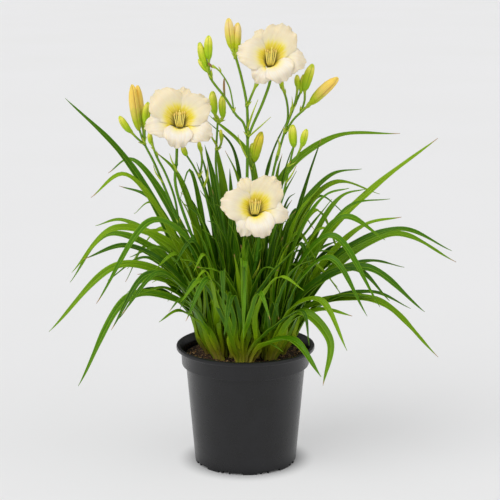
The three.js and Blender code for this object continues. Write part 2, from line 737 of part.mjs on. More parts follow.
// A closed thin solid from a grid of points, thickened to both sides along its normals.
function sheet(rows, thick) {
  const [m, n] = [rows.length, rows[0].length];
  const at = (i, j) => rows[Math.max(0, Math.min(m - 1, i))][Math.max(0, Math.min(n - 1, j))];
  const face = (sign) =>
    rows.map((row, i) =>
      row.map((p, j) => {
        const u = at(i + 1, j).clone().sub(at(i - 1, j));
        const v = at(i, j + 1).clone().sub(at(i, j - 1));
        return p.clone().addScaledVector(u.cross(v).normalize(), (sign * thick) / 2);
      }),
    );
  const points = [...face(1).flat(), ...face(-1).flat()];
  const index = [];
  const back = m * n;
  for (let i = 0; i + 1 < m; i++) {
    for (let j = 0; j + 1 < n; j++) {
      const [a, b, c, d] = [i * n + j, i * n + j + 1, (i + 1) * n + j + 1, (i + 1) * n + j];
      index.push(a, c, b, a, d, c);
      index.push(a + back, b + back, c + back, a + back, c + back, d + back);
    }
  }
  const rim = [];
  for (let j = 0; j < n; j++) rim.push(j);
  for (let i = 1; i < m; i++) rim.push(i * n + n - 1);
  for (let j = n - 2; j >= 0; j--) rim.push((m - 1) * n + j);
  for (let i = m - 2; i > 0; i--) rim.push(i * n);
  rim.forEach((a, k) => {
    const b = rim[(k + 1) % rim.length];
    index.push(a, b, b + back, a, b + back, a + back);
  });
  const geometry = new THREE.BufferGeometry();
  geometry.setAttribute(
    "position",
    new THREE.Float32BufferAttribute(points.flatMap((p) => [p.x, p.y, p.z]), 3),
  );
  geometry.setIndex(index);
  return geometry;
}

// A solid turned about the axis of a bloom from [along, radius] steps.
function turned({ foot, axis, right, up }, steps, sides) {
  const rings = steps.map(([along, r]) =>
    Array.from({ length: sides }, (_, k) => {
      const turn = (k / sides) * 2 * Math.PI;
      return foot
        .clone()
        .addScaledVector(axis, along)
        .addScaledVector(right, r * Math.cos(turn))
        .addScaledVector(up, r * Math.sin(turn));
    }),
  );
  return solid(loft(rings));
}

const TUBE = { steps: [[0, 2.2], [14, 4.4], [17, 4.4]], sides: 8 };

function bloom(spec, seed) {
  const frame = bloomFrame(spec);
  const random = draws(seed);
  const petals = spec.petals.map((row) => tepal(frame, row, PETAL, random));
  const sepals = spec.sepals.map((row) => tepal(frame, row, SEPAL, random));
  return join([turned(frame, TUBE.steps, TUBE.sides), ...petals, ...sepals]);
}

const STAMEN = {
  start: 17.6, // height over the foot of the tube
  pad: 2.4, // radius of what they grow from
  filament: 0.5, // radius
  count: 6,
  length: 27,
  style: 8, // how much longer the style is
  apart: 2.2, // at the ends
  sag: 2,
  rise: 9,
  anther: 1.1,
};

// Filaments that lean down in the throat and turn up at their ends, each with an anther, and one
// longer style between them, on a small pad.
function stamens(spec, seed) {
  const frame = bloomFrame(spec);
  const { axis, right, up, foot } = frame;
  const random = draws(seed);
  const { start, pad, length, sag, filament } = STAMEN;
  const at = (along, aside, rise) =>
    foot
      .clone()
      .addScaledVector(axis, start + along)
      .addScaledVector(right, aside)
      .addScaledVector(up, rise)
      .toArray();
  const parts = [turned(frame, [[start, pad], [start + 1.5, pad]], 6)];
  for (let k = 0; k < STAMEN.count; k++) {
    const aside = STAMEN.apart * (k - (STAMEN.count - 1) / 2);
    const long = length * mix(0.85, 1, random());
    const rise = STAMEN.rise * mix(0.7, 1.1, random());
    const line = [at(0.4, aside * 0.25, 0), at(long * 0.5, aside * 0.6, -sag), at(long, aside, rise)];
    parts.push(bar(line, filament * 1.3, filament, 3, 2));
    const ends = [at(long - 1, aside, rise - 1.5), at(long + 1, aside, rise + 3)];
    parts.push(bar(ends, STAMEN.anther, STAMEN.anther * 0.6, 4, 1));
  }
  const long = length + STAMEN.style;
  const line = [at(0.4, 0.2, 0.8), at(long * 0.5, 0.3, sag), at(long, 0.3, STAMEN.rise + sag)];
  parts.push(bar(line, filament * 1.3, filament, 3, 2));
  return join(parts);
}

// ---------------------------------------------------------------- soil
function soilTop(r, turn) {
  const inner = POT.collarRadius - POT.wall - 1;
  const share = r / inner;
  const [x, y] = [r * Math.cos(turn), r * Math.sin(turn)];
  const crumb = Math.sin(x * 0.31 + 1.7) * Math.cos(y * 0.37) + 0.6 * Math.sin(x * 0.73 - y * 0.59);
  return SOIL.edge + SOIL.mound * (1 - share * share) + SOIL.grain * crumb * (1 - share ** 4);
}

function soilBody() {
  const lipUnder = POT.height - POT.lipHeight;
  const step = lipUnder - POT.collarHeight;
  const inset = POT.wall + SOIL.gap;
  const ring = (r, z) =>
    Array.from({ length: SOIL.sides }, (_, k) => {
      const turn = (k / SOIL.sides) * 2 * Math.PI;
      const height = typeof z === "function" ? z(r, turn) : z;
      return vec(r * Math.cos(turn), r * Math.sin(turn), height);
    });
  const top = POT.collarRadius - inset - 1.2;
  const rings = [
    ring(POT.footRadius - inset - 0.6, POT.floor + SOIL.gap),
    ring(POT.bodyRadius - inset - 0.4, step - 1.5),
    ring(top, step + 1.5),
  ];
  for (let i = 0; i < SOIL.rings; i++) rings.push(ring(top * (1 - i / SOIL.rings), soilTop));
  return solid(loft(rings));
}

function soil() {
  let body = soilBody();
  for (const { foot } of Object.values(FANS)) {
    const heights = [-SHEATH.below - HOLE_GAP, SHEATH.collar, STEM.below];
    body = body.subtract(sheathPlug(foot, heights, HOLE_GAP, [1, 1, 1]));
  }
  for (const { line, radius } of Object.values(SCAPES)) {
    const [x, y, z] = line[0];
    const hole = [[x, y, z - STEM.below - HOLE_GAP], [x, y, z + 15]];
    body = body.subtract(bar(hole, radius[0] + STEM.hole, radius[0] + STEM.hole, STEM.sides, 1));
  }
  return body;
}

// ---------------------------------------------------------------- the plant
node("pot", pot(), MATERIAL.pot);
node("soil", soil(), MATERIAL.soil);
for (const name of Object.keys(FANS)) node(name, fan(name), MATERIAL.leaf);
for (const [name, spec] of Object.entries(SCAPES)) node(name, scape(spec), MATERIAL.scape);
for (const [name, [form, material]] of Object.entries(BUDS)) node(name, bud(form, 8), material);
Object.entries(BLOOMS).forEach(([name, spec], i) => {
  node("bloom_" + name, bloom(spec, SEED + 11 * i), MATERIAL.petal);
  node("stamens_" + name, stamens(spec, SEED + 13 * i), MATERIAL.stamen);
});

export default plant;
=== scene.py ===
"""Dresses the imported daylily: a clump in flower in a round nursery pot, in metres, on its CAD frame."""

import functools
import logging
import math
from collections.abc import Callable, Sequence
from dataclasses import dataclass, replace
from enum import Enum

import bpy
import numpy as np
from bpy.types import Material, NodeSocket, NodeTree, Object
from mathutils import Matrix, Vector, noise


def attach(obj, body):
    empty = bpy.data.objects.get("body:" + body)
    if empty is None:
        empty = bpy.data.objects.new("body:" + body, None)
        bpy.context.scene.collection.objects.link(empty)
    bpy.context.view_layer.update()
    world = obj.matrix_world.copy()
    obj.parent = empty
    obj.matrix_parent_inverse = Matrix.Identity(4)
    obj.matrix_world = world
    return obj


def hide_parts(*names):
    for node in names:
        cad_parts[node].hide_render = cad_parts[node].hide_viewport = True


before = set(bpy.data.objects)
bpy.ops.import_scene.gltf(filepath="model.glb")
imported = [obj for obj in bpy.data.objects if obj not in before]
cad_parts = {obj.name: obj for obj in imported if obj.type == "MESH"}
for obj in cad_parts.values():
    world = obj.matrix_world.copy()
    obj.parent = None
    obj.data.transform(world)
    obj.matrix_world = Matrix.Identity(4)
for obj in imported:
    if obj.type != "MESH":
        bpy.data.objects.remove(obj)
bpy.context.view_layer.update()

logging.basicConfig(level=logging.INFO, format="%(name)s: %(message)s")
LOG = logging.getLogger("daylily")

MM = 0.001
SEED = 20261
SOIL_EDGE = 150.0  # height of the compost at the wall of the pot, in mm

Draw = Callable[[], float]  # gives the next random number
Array = np.ndarray
Number = float | Array
Form = Callable[[Array, Array, Array], Array]  # see Blank.bent


# -------- tools
def linear(colour: str) -> tuple[float, float, float, float]:
    """Turns an sRGB hex colour into linear values.

    Args:
        colour: the colour as "#rrggbb".

    Returns:
        Red, green, blue and an alpha of 1.
    """
    parts = (int(colour[i : i + 2], 16) / 255 for i in (1, 3, 5))
    return (*(p / 12.92 if p <= 0.04045 else ((p + 0.055) / 1.055) ** 2.4 for p in parts), 1.0)


def add_node(
    tree: NodeTree,
    kind: str,
    inputs: dict | None = None,
    out: int | str = 0,
    stops: dict[float, str] | None = None,
    **settings: object,
) -> NodeSocket:
    """Adds a node with its settings and links.

    Inputs whose names repeat go by number. A Math node takes 0, 1 and 2. A MapRange takes its value
    as 0, its span as 1 and 2, and the new span as 3 and 4. A Mix takes its share as 0 and its two
    colours as 6 and 7, and gives its colour as output 2.

    Args:
        tree: the node tree that it goes in.
        kind: the node's type, without "ShaderNode".
        inputs: its inputs by name or number: a value, a hex colour or a socket to link from.
        out: the name or number of the output that is wanted.
        stops: the hex colours of a ramp by their place.
        settings: its own properties.

    Returns:
        The wanted output socket.
    """
    node = tree.nodes.new("ShaderNode" + kind)
    for name, value in settings.items():
        setattr(node, name, value)
    for name, value in (inputs or {}).items():
        if isinstance(value, NodeSocket):
            tree.links.new(value, node.inputs[name])
        else:
            node.inputs[name].default_value = linear(value) if isinstance(value, str) else value
    for i, (place, colour) in enumerate(sorted((stops or {}).items())):
        points = node.color_ramp.elements
        point = points[i] if i < len(points) else points.new(1.0)
        point.position, point.color = place, linear(colour)
    return node.outputs[out]


def draws(seed: int) -> Draw:
    """A small repeatable source of random numbers, after Lehmer.

    Args:
        seed: where it starts.

    Returns:
        A function that gives the next number between 0 and 1.
    """
    prime, factor = 2**31 - 1, 7**5
    state = seed % prime

    def draw() -> float:
        """Gives the next number."""
        nonlocal state
        state = (state * factor) % prime
        return (state - 1) / (prime - 1)

    return draw


def mix(a: Number, b: Number, share: Number) -> Number:
    """Gives the value that lies a share of the way from a to b."""
    return a + (b - a) * share


def unit(v: Array) -> Array:
    """Gives vectors their unit length."""
    return v / np.maximum(np.linalg.norm(v, axis=-1, keepdims=True), 1e-12)


def deselect() -> None:
    """Deselects every object."""
    bpy.ops.object.select_all(action="DESELECT")


def pick(piece: Object) -> None:
    """Selects one object alone and makes it the active one."""
    deselect()
    piece.select_set(True)
    bpy.context.view_layer.objects.active = piece


def joined(parts: list[Object], name: str) -> Object:
    """Joins objects into one.

    Args:
        parts: the objects, the first of which keeps its materials first.
        name: the name of the result.

    Returns:
        The joined object.
    """
    pick(parts[0])
    for part in parts[1:]:
        part.select_set(True)
    if len(parts) > 1:
        bpy.ops.object.join()
    parts[0].name = name
    parts[0].data.name = name
    return parts[0]


def drawn_up(rings: list[tuple[float, float]], sides: int) -> Object:
    """Draws a disc out through rings, and stays in edit mode with the last ring selected.

    Args:
        rings: (radius, height) of each ring in mm, from the disc that closes the foot.
        sides: how many faces it has round.

    Returns:
        The new object, in edit mode.
    """
    radius, level = (size * MM for size in rings[0])
    deselect()
    bpy.ops.mesh.primitive_circle_add(vertices=sides, radius=radius, fill_type="NGON", location=(0, 0, level))
    bpy.ops.object.transform_apply(location=True)
    bpy.ops.object.mode_set(mode="EDIT")
    bpy.ops.mesh.select_all(action="SELECT")
    for wide, high in rings[1:]:
        bpy.ops.mesh.extrude_region_move(TRANSFORM_OT_translate={"value": (0, 0, high * MM - level)})
        scale = wide * MM / radius
        bpy.ops.transform.resize(value=(scale, scale, 1), center_override=(0, 0, high * MM))
        radius, level = wide * MM, high * MM
    return bpy.context.object


def face_outward() -> None:
    """Turns every face of the object in edit mode outward, and leaves edit mode."""
    bpy.ops.mesh.select_all(action="SELECT")
    bpy.ops.mesh.normals_make_consistent(inside=False)
    bpy.ops.object.mode_set(mode="OBJECT")


def fitted(piece: Object, nodes: tuple[str, ...]) -> Object:
    """Sets a finished piece on the frame in place of its CAD nodes.

    Args:
        piece: the piece, with its place in its mesh.
        nodes: the CAD nodes that it stands for.

    Returns:
        The piece.
    """
    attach(piece, "root")
    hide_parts(*nodes)
    LOG.info("%s: %d faces, for %s", piece.name, len(piece.data.polygons), ", ".join(nodes))
    return piece


class SmoothLine:
    """A centripetal spline through points, sampled evenly by length."""

    samples: int = 40  # between two points
    reach: float = 0.004  # share of the length to each side that a direction is taken over

    def __init__(self, points: Sequence, span: int = 3) -> None:
        """Sets the spline up.

        Args:
            points: rows of coordinates; more than three may be given.
            span: how many of the coordinates count towards its length.
        """
        p = np.asarray(points, float)
        p = np.vstack([2 * p[0] - p[1], p, 2 * p[-1] - p[-2]])
        w = np.linspace(0, 1, self.samples, endpoint=False)[:, None]
        rows = []
        for i in range(1, len(p) - 2):
            q = p[i - 1 : i + 3]
            a, b, c = np.maximum(np.linalg.norm(np.diff(q[:, :span], axis=0), axis=1) ** 0.5, 1e-6)
            start = ((q[1] - q[0]) / a - (q[2] - q[0]) / (a + b) + (q[2] - q[1]) / b) * b
            end = ((q[2] - q[1]) / b - (q[3] - q[1]) / (b + c) + (q[3] - q[2]) / c) * b
            cubic = (2 * q[1] - 2 * q[2] + start + end) * w**3
            square = (-3 * q[1] + 3 * q[2] - 2 * start - end) * w**2
            rows.append(cubic + square + start * w + q[1])
        rows.append(p[-2][None])
        self.points = np.vstack(rows)
        steps = np.linalg.norm(np.diff(self.points[:, :span], axis=0), axis=1)
        self.runs = np.concatenate([[0], np.cumsum(steps)])
        self.length = self.runs[-1]

    def at(self, shares: Array) -> Array:
        """Gives the points at shares of the length."""
        runs = np.asarray(shares) * self.length
        return np.stack([np.interp(runs, self.runs, c) for c in self.points.T], axis=-1)

    def along(self, shares: Array) -> Array:
        """Gives the unit directions at shares of the length."""
        low, high = np.clip(shares - self.reach, 0, 1), np.clip(shares + self.reach, 0, 1)
        return unit((self.at(high) - self.at(low))[..., :3])


def level_frame(middle: Array, along: Array) -> tuple[Array, Array, Array]:
    """Gives the directions of a blade that lies level from side to side.

    Args:
        middle: the points of its line.
        along: the unit directions of the line there.

    Returns:
        The level direction across the whole blade, then those across it and out of it at each point.
    """
    lean = unit(np.array([*(middle[-1] - middle[0])[:2], 0.0]))
    level = np.cross(lean, (0, 0, 1))
    across = unit(level - along * (along @ level)[:, None])
    return level, across, np.cross(across, along)


class Blank:
    """A flat closed strip or a tube, made once, which copies are bent from."""

    def __init__(self, columns: int, rows: int, tube: bool = False) -> None:
        """Makes the blank, two units wide, long and thick.

        Args:
            columns: how many faces it has across, or round a tube.
            rows: how many faces it has along.
            tube: makes a tube with closed ends.
        """
        deselect()
        self.columns, self.rows, self.tube = columns, rows, tube
        if tube:
            self._make_tube()
        else:
            self._make_strip()
        self.mesh = bpy.context.object.data.copy()
        co = np.empty(len(self.mesh.vertices) * 3)
        self.mesh.vertices.foreach_get("co", co)
        self.co = co.reshape(-1, 3)
        bpy.data.objects.remove(bpy.context.object)

    def _make_strip(self) -> None:
        """Adds a grid and gives it two faces."""
        bpy.ops.mesh.primitive_grid_add(x_subdivisions=self.columns, y_subdivisions=self.rows, size=2)
        strip = bpy.context.object
        wall = strip.modifiers.new("wall", "SOLIDIFY")
        wall.thickness, wall.offset = 2.0, 0.0
        bpy.ops.object.modifier_apply(modifier=wall.name)

    def _make_tube(self) -> None:
        """Adds a cylinder and divides it along its length."""
        bpy.ops.mesh.primitive_cylinder_add(vertices=self.columns, radius=1, depth=2, end_fill_type="TRIFAN")
        bpy.ops.object.mode_set(mode="EDIT")
        for i in range(1, self.rows):
            bpy.ops.mesh.select_all(action="SELECT")
            bpy.ops.mesh.bisect(plane_co=(0, 0, 2 * i / self.rows - 1), plane_no=(0, 0, 1))
        bpy.ops.object.mode_set(mode="OBJECT")

    def row(self, way: Array) -> Array:
        """Gives the number of the row at a share of the way along."""
        return np.rint(way * self.rows).astype(int)

    def shares(self) -> Array:
        """Gives the share of the way along of each row."""
        return np.linspace(0, 1, self.rows + 1)

    def bent(self, name: str, form: Form, material: Material, **marks: float | Form) -> Object:
        """Copies the blank and bends the copy.

        Args:
            name: the copy's name.
            form: takes (across, along, side) arrays, with across and side from -1 to 1 and along
                from 0 to 1, and gives points in mm. On a tube, across and side are the cosine and
                sine round it, and both are 0 at the middle of an end.
            material: its finish.
            marks: attributes for its finish, each a number or a function of (across, along, side).

        Returns:
            The copy as a new object.
        """
        mesh = self.mesh.copy()
        across, along, side = self._parts()
        points = form(across, along, side) * MM
        mesh.vertices.foreach_set("co", points.ravel())
        for mark, value in marks.items():
            values = value(across, along, side) if callable(value) else np.full(len(across), value)
            attribute = mesh.attributes.new(mark, "FLOAT", "POINT")
            attribute.data.foreach_set("value", np.asarray(values, np.float32))
        mesh.materials.clear()
        mesh.materials.append(material)
        mesh.polygons.foreach_set("use_smooth", [True] * len(mesh.polygons))
        mesh.update()
        piece = bpy.data.objects.new(name, mesh)
        bpy.context.scene.collection.objects.link(piece)
        return piece

    def laid(
        self,
        name: str,
        line: SmoothLine,
        flat: tuple[int, int, int],
        girth: Callable[[Array], Array],
        material: Material,
        beyond: float = 0.0,
        **marks: float | Form,
    ) -> Object:
        """Copies the blank, a tube, and lays the copy along a line.

        Args:
            name: the copy's name.
            line: the line.
            flat: a direction that the line never takes.
            girth: gives the tube's radius in mm at shares of the way along.
            material: its finish.
            beyond: how far its end is pushed out, in mm.
            marks: attributes for its finish, as in bent.

        Returns:
            The copy as a new object.
        """
        shares = self.shares()
        middle, along = line.at(shares), line.along(shares)
        first = unit(np.cross(flat, along))
        second = np.cross(along, first)

        def form(across: Array, way: Array, side: Array) -> Array:
            """Sets each ring of the tube square to the line."""
            i = self.row(way)
            ring = (first[i] * across[:, None] + second[i] * side[:, None]) * girth(way)[:, None]
            return middle[i] + ring + along[-1] * beyond * (way > 0.999)[:, None]

        return self.bent(name, form, material, **marks)

    def _parts(self) -> tuple[Array, Array, Array]:
        """Gives every vertex's place across, along and on which side."""
        x, y, z = self.co.T
        return (x, (z + 1) / 2, y) if self.tube else (x, (y + 1) / 2, z)


# -------- finishes
class Tone(Enum):
    """The colours of a closed bud, from its foot to its tip, and of its seams."""

    CREAM = ("#C2D412", "#EAD666", "#F2DC92", "#B87C4C")
    YELLOW = ("#B4CC18", "#F4D86C", "#FCD85E", "#BE7A40")
    GREEN = ("#9CBC12", "#C4C426", "#E8D048", "#8A6A1E")
    LEAFY = ("#A6CC1C", "#C4D428", "#EEE662", "#6A8A1A")
    SPENT = ("#7E8A34", "#A08048", "#94683A", "#5E4226")


COLOUR = {"out": 2, "data_type": "RGBA"}  # makes a Mix node blend colours


def new_material(name: str) -> tuple[Material, Callable[..., NodeSocket]]:
    """Makes a material.

    Args:
        name: what it is made of.

    Returns:
        The material, and add_node for its own node tree.
    """
    material = bpy.data.materials.new(name)
    material.use_nodes = True
    return material, functools.partial(add_node, material.node_tree)


def dress(material: Material, **inputs: object) -> Material:
    """Sets or links the inputs of the material's shader.

    Args:
        material: the material.
        inputs: the shader's inputs by name, with _ for a space: a value or a socket.

    Returns:
        The material.
    """
    tree = material.node_tree
    for name, value in inputs.items():
        socket = tree.nodes["Principled BSDF"].inputs[name.replace("_", " ")]
        if isinstance(value, NodeSocket):
            tree.links.new(value, socket)
        else:
            socket.default_value = value
    return material


@dataclass(frozen=True)
class MouldedPolypropylene:
    """Injection moulded polypropylene with carbon black: satin, with a faint mottle and scuffs."""

    body: str = "#161617"
    worn: str = "#1C1C1F"
    smooth: float = 0.21
    rough: float = 0.35
    mottle: float = 24 * MM  # across a patch
    grain: float = 0.9 / MM  # of the skin of the mould

    def material(self) -> Material:
        """Builds the material.

        Returns:
            The material.
        """
        material, node = new_material("moulded_polypropylene")
        place = node("TexCoord", out="Object")
        cloud = node("TexNoise", {"Vector": place, "Scale": 1 / self.mottle, "Detail": 5.0})
        grain = node("TexNoise", {"Vector": place, "Scale": self.grain, "Detail": 2.0})
        return dress(
            material,
            Base_Color=node("ValToRGB", {0: cloud}, stops={0.3: self.body, 0.8: self.worn}),
            # The satin of the mould is a little rougher in patches, which breaks up long reflections.
            Roughness=node("MapRange", {"Value": cloud, "To Min": self.smooth, "To Max": self.rough}),
            Normal=node("Bump", {"Height": grain, "Strength": 0.05, "Distance": 0.2 * MM}),
            Specular_IOR_Level=0.36,
            IOR=1.49,
        )


@dataclass(frozen=True)
class PeatCompost:
    """Damp peat with bark: near black, with red-brown and a few straw-coloured crumbs."""

    dark: str = "#140D09"
    umber: str = "#2A1A10"
    brown: str = "#4A2E1C"
    bark: str = "#86592F"
    straw: str = "#CDA671"
    crumb: float = 2.4 * MM
    fibre: float = 1.4 / MM

    def material(self) -> Material:
        """Builds the material.

        Returns:
            The material.
        """
        material, node = new_material("peat_compost")
        place = node("TexCoord", out="Object")
        cells = node("TexVoronoi", {"Vector": place, "Scale": 1 / self.crumb}, out="Color")
        cell = node("SeparateColor", {0: cells})
        own = node("Attribute", out="Fac", attribute_name="tint")
        half = node("Math", {0: cell, 1: 0.4}, operation="MULTIPLY")
        share = node("Math", {0: own, 1: 0.6, 2: half}, operation="MULTIPLY_ADD")
        stops = {0.0: self.dark, 0.34: self.umber, 0.56: self.brown, 0.7: self.bark, 0.8: self.straw}
        fine = node("TexNoise", {"Vector": place, "Scale": self.fibre, "Detail": 4.0})
        return dress(
            material,
            Base_Color=node("ValToRGB", {0: share}, stops=stops),
            Normal=node("Bump", {"Height": fine, "Strength": 0.7, "Distance": 0.5 * MM}),
            Roughness=0.85,
        )


@dataclass(frozen=True)
class StrapLeaf:
    """A daylily's blade: satin green with parallel veins, a pale keel and a yellowish foot."""

    deep: str = "#275003"
    green: str = "#4E8003"
    fresh: str = "#92B60C"
    keel: str = "#9EC22E"
    dry: str = "#A98450"
    foot: tuple[str, ...] = ("#609C06", "#9ABA0C", "#C2C228", "#D0C256")  # down to the compost
    veins: float = 5.0  # to each half; the real ones, 0.5 mm apart, are too fine to show
    streaks: tuple[float, ...] = (26.0, 3.0, 1.0)  # across and along: about 0.4 mm by 130 mm
    pale: float = 95 * MM  # how far the yellower foot reaches above the compost

    def material(self) -> Material:
        """Builds the material.

        Returns:
            The material.
        """
        material, node = new_material("strap_leaf")
        grain = node("UVMap", uv_map="UVMap")
        across = node("SeparateXYZ", {0: grain})
        marks = ("tint", "rise", "dry")
        tint, rise, dry = (node("Attribute", out="Fac", attribute_name=mark) for mark in marks)
        drawn = node("Mapping", {"Vector": grain, "Scale": self.streaks})
        moved = node("VectorMath", {0: drawn, 1: tint}, operation="ADD")
        streak = node("TexNoise", {"Vector": moved, "Scale": 1.0, "Detail": 3.0})
        turn = node("Math", {0: across, 1: self.veins * 4 * math.pi}, operation="MULTIPLY")
        wave = node("Math", {0: turn}, operation="COSINE")
        vein = node("Math", {0: wave, 1: 0.5, 2: 0.5}, operation="MULTIPLY_ADD")
        half = node("Math", {0: streak, 1: 0.5}, operation="MULTIPLY")
        # tint carries a random tone and, on leaves nearer the middle of the clump, painted shade.
        tone = node("Math", {0: tint, 1: 0.55, 2: half}, operation="MULTIPLY_ADD")
        blade = node("ValToRGB", {0: tone}, stops={0.18: self.deep, 0.52: self.green, 0.86: self.fresh})
        shade = node("Math", {0: vein, 1: 0.25}, operation="MULTIPLY")
        blade = node("Mix", {0: shade, 6: blade, 7: self.deep}, **COLOUR)
        # The keel along the middle is paler than the blade.
        aside = node("Math", {0: across, 1: 0.5}, operation="SUBTRACT")
        aside = node("Math", {0: aside}, operation="ABSOLUTE")
        keel = node("MapRange", {0: aside, 1: 0.02, 2: 0.07, 3: 0.5, 4: 0.0})
        blade = node("Mix", {0: keel, 6: blade, 7: self.keel}, **COLOUR)
        # A fine light line along both edges, partly the blade's paler margin and partly a painted highlight,
        # sets each blade off from the next.
        edge = node("MapRange", {0: aside, 1: 0.43, 2: 0.49, 3: 0.0, 4: 0.4})
        blade = node("Mix", {0: edge, 6: blade, 7: self.keel}, **COLOUR)
        # Each blade is blanched where it was wrapped in the others.
        young = node("MapRange", {0: rise, 1: 0.0, 2: self.pale, 3: 0.95, 4: 0.0})
        foot = node("ValToRGB", {0: young}, stops=dict(zip((0.0, 0.4, 0.72, 0.92), self.foot)))
        # Darker blades, which include the painted shade of the inner leaves, keep less of the yellow foot.
        dull = node("MapRange", {0: tone, 1: 0.2, 2: 0.6, 3: 0.7, 4: 0.0})
        foot = node("Mix", {0: dull, 6: foot, 7: self.green}, **COLOUR)
        blade = node("Mix", {0: young, 6: blade, 7: foot}, **COLOUR)
        ribs = node("Math", {0: streak, 1: 0.5, 2: vein}, operation="MULTIPLY_ADD")
        return dress(
            material,
            Base_Color=node("Mix", {0: dry, 6: blade, 7: self.dry}, **COLOUR),
            Normal=node("Bump", {"Height": ribs, "Strength": 0.35, "Distance": 0.25 * MM}),
            Roughness=0.4,
            Specular_IOR_Level=0.15,
            Subsurface_Weight=0.12,
            Subsurface_Radius=(0.9, 1.0, 0.1),
            Subsurface_Scale=1.0 * MM,
        )


@dataclass(frozen=True)
class GreenStem:
    """A leafless flower stem: smooth and waxy, darker below and yellower by the buds."""

    low: str = "#4A800E"
    high: str = "#7FA41C"
    deep: str = "#38680A"
    bract: str = "#B8CC3C"
    scar: str = "#A87F48"
    span: tuple[float, float] = (300 * MM, 540 * MM)  # heights between which it turns yellower
    patches: float = 0.12 / MM

    def material(self) -> Material:
        """Builds the material.

        Returns:
            The material.
        """
        material, node = new_material("green_stem")
        place = node("TexCoord", out="Object")
        height = node("SeparateXYZ", {0: place}, out="Z")
        share = node("MapRange", {0: height, 1: self.span[0], 2: self.span[1]})
        cloud = node("TexNoise", {"Vector": place, "Scale": self.patches, "Detail": 3.0})
        skin = node("Mix", {0: share, 6: self.low, 7: self.high}, **COLOUR)
        patch = node("Math", {0: cloud, 1: 0.4}, operation="MULTIPLY")
        skin = node("Mix", {0: patch, 6: skin, 7: self.deep}, **COLOUR)
        dry = node("Attribute", out="Fac", attribute_name="dry")
        # From green through the pale green of a bract to its papery brown end.
        young = node("MapRange", {0: dry, 1: 0.0, 2: 0.5})
        skin = node("Mix", {0: young, 6: skin, 7: self.bract}, **COLOUR)
        brown = node("MapRange", {0: dry, 1: 0.5, 2: 1.0})
        return dress(
            material,
            Base_Color=node("Mix", {0: brown, 6: skin, 7: self.scar}, **COLOUR),
            Normal=node("Bump", {"Height": cloud, "Strength": 0.2, "Distance": 0.3 * MM}),
            Roughness=0.42,
            Specular_IOR_Level=0.22,
            Subsurface_Weight=0.1,
            Subsurface_Radius=(0.6, 1.0, 0.1),
            Subsurface_Scale=1.5 * MM,
        )


@dataclass(frozen=True)
class BudSkin:
    """A closed bud: three sepals edge to edge, green at the foot and coloured to the tip."""

    tone: Tone
    patches: float = 0.16 / MM
    veins: float = 21.0  # round the bud

    def material(self) -> Material:
        """Builds the material.

        Returns:
            The material.
        """
        foot, middle, tip, seam = self.tone.value
        material, node = new_material("bud_skin_" + self.tone.name.lower())
        along, turn = (node("Attribute", out="Fac", attribute_name=mark) for mark in ("along", "round"))
        place = node("TexCoord", out="Object")
        cloud = node("TexNoise", {"Vector": place, "Scale": self.patches, "Detail": 2.0})
        ragged = node("Math", {0: cloud, 1: 0.3, 2: -0.15}, operation="MULTIPLY_ADD")
        share = node("Math", {0: along, 1: ragged}, operation="ADD")
        skin = node("ValToRGB", {0: share}, stops={0.2: foot, 0.54: middle, 0.86: tip, 1.0: middle})
        # Fine veins, and the three seams where the sepals meet.
        fine = node("Math", {0: turn, 1: self.veins}, operation="MULTIPLY")
        fine = node("Math", {0: fine}, operation="COSINE")
        veins = node("Math", {0: fine, 1: 0.08, 2: 0.08}, operation="MULTIPLY_ADD")
        skin = node("Mix", {0: veins, 6: skin, 7: seam}, **COLOUR)
        fold = node("Math", {0: turn, 1: 1.5}, operation="MULTIPLY")
        fold = node("Math", {0: fold}, operation="COSINE")
        fold = node("Math", {0: fold}, operation="ABSOLUTE")
        line = node("MapRange", {0: fold, 1: 0.02, 2: 0.15, 3: 0.8, 4: 0.0})
        upper = node("MapRange", {0: share, 1: 0.15, 2: 0.5, 3: 0.35, 4: 1.0})
        line = node("Math", {0: line, 1: upper}, operation="MULTIPLY")
        return dress(
            material,
            Base_Color=node("Mix", {0: line, 6: skin, 7: seam}, **COLOUR),
            Roughness=0.45,
            Specular_IOR_Level=0.22,
            Subsurface_Weight=0.2,
            Subsurface_Radius=(1.0, 0.8, 0.2),
            Subsurface_Scale=2 * MM,
        )


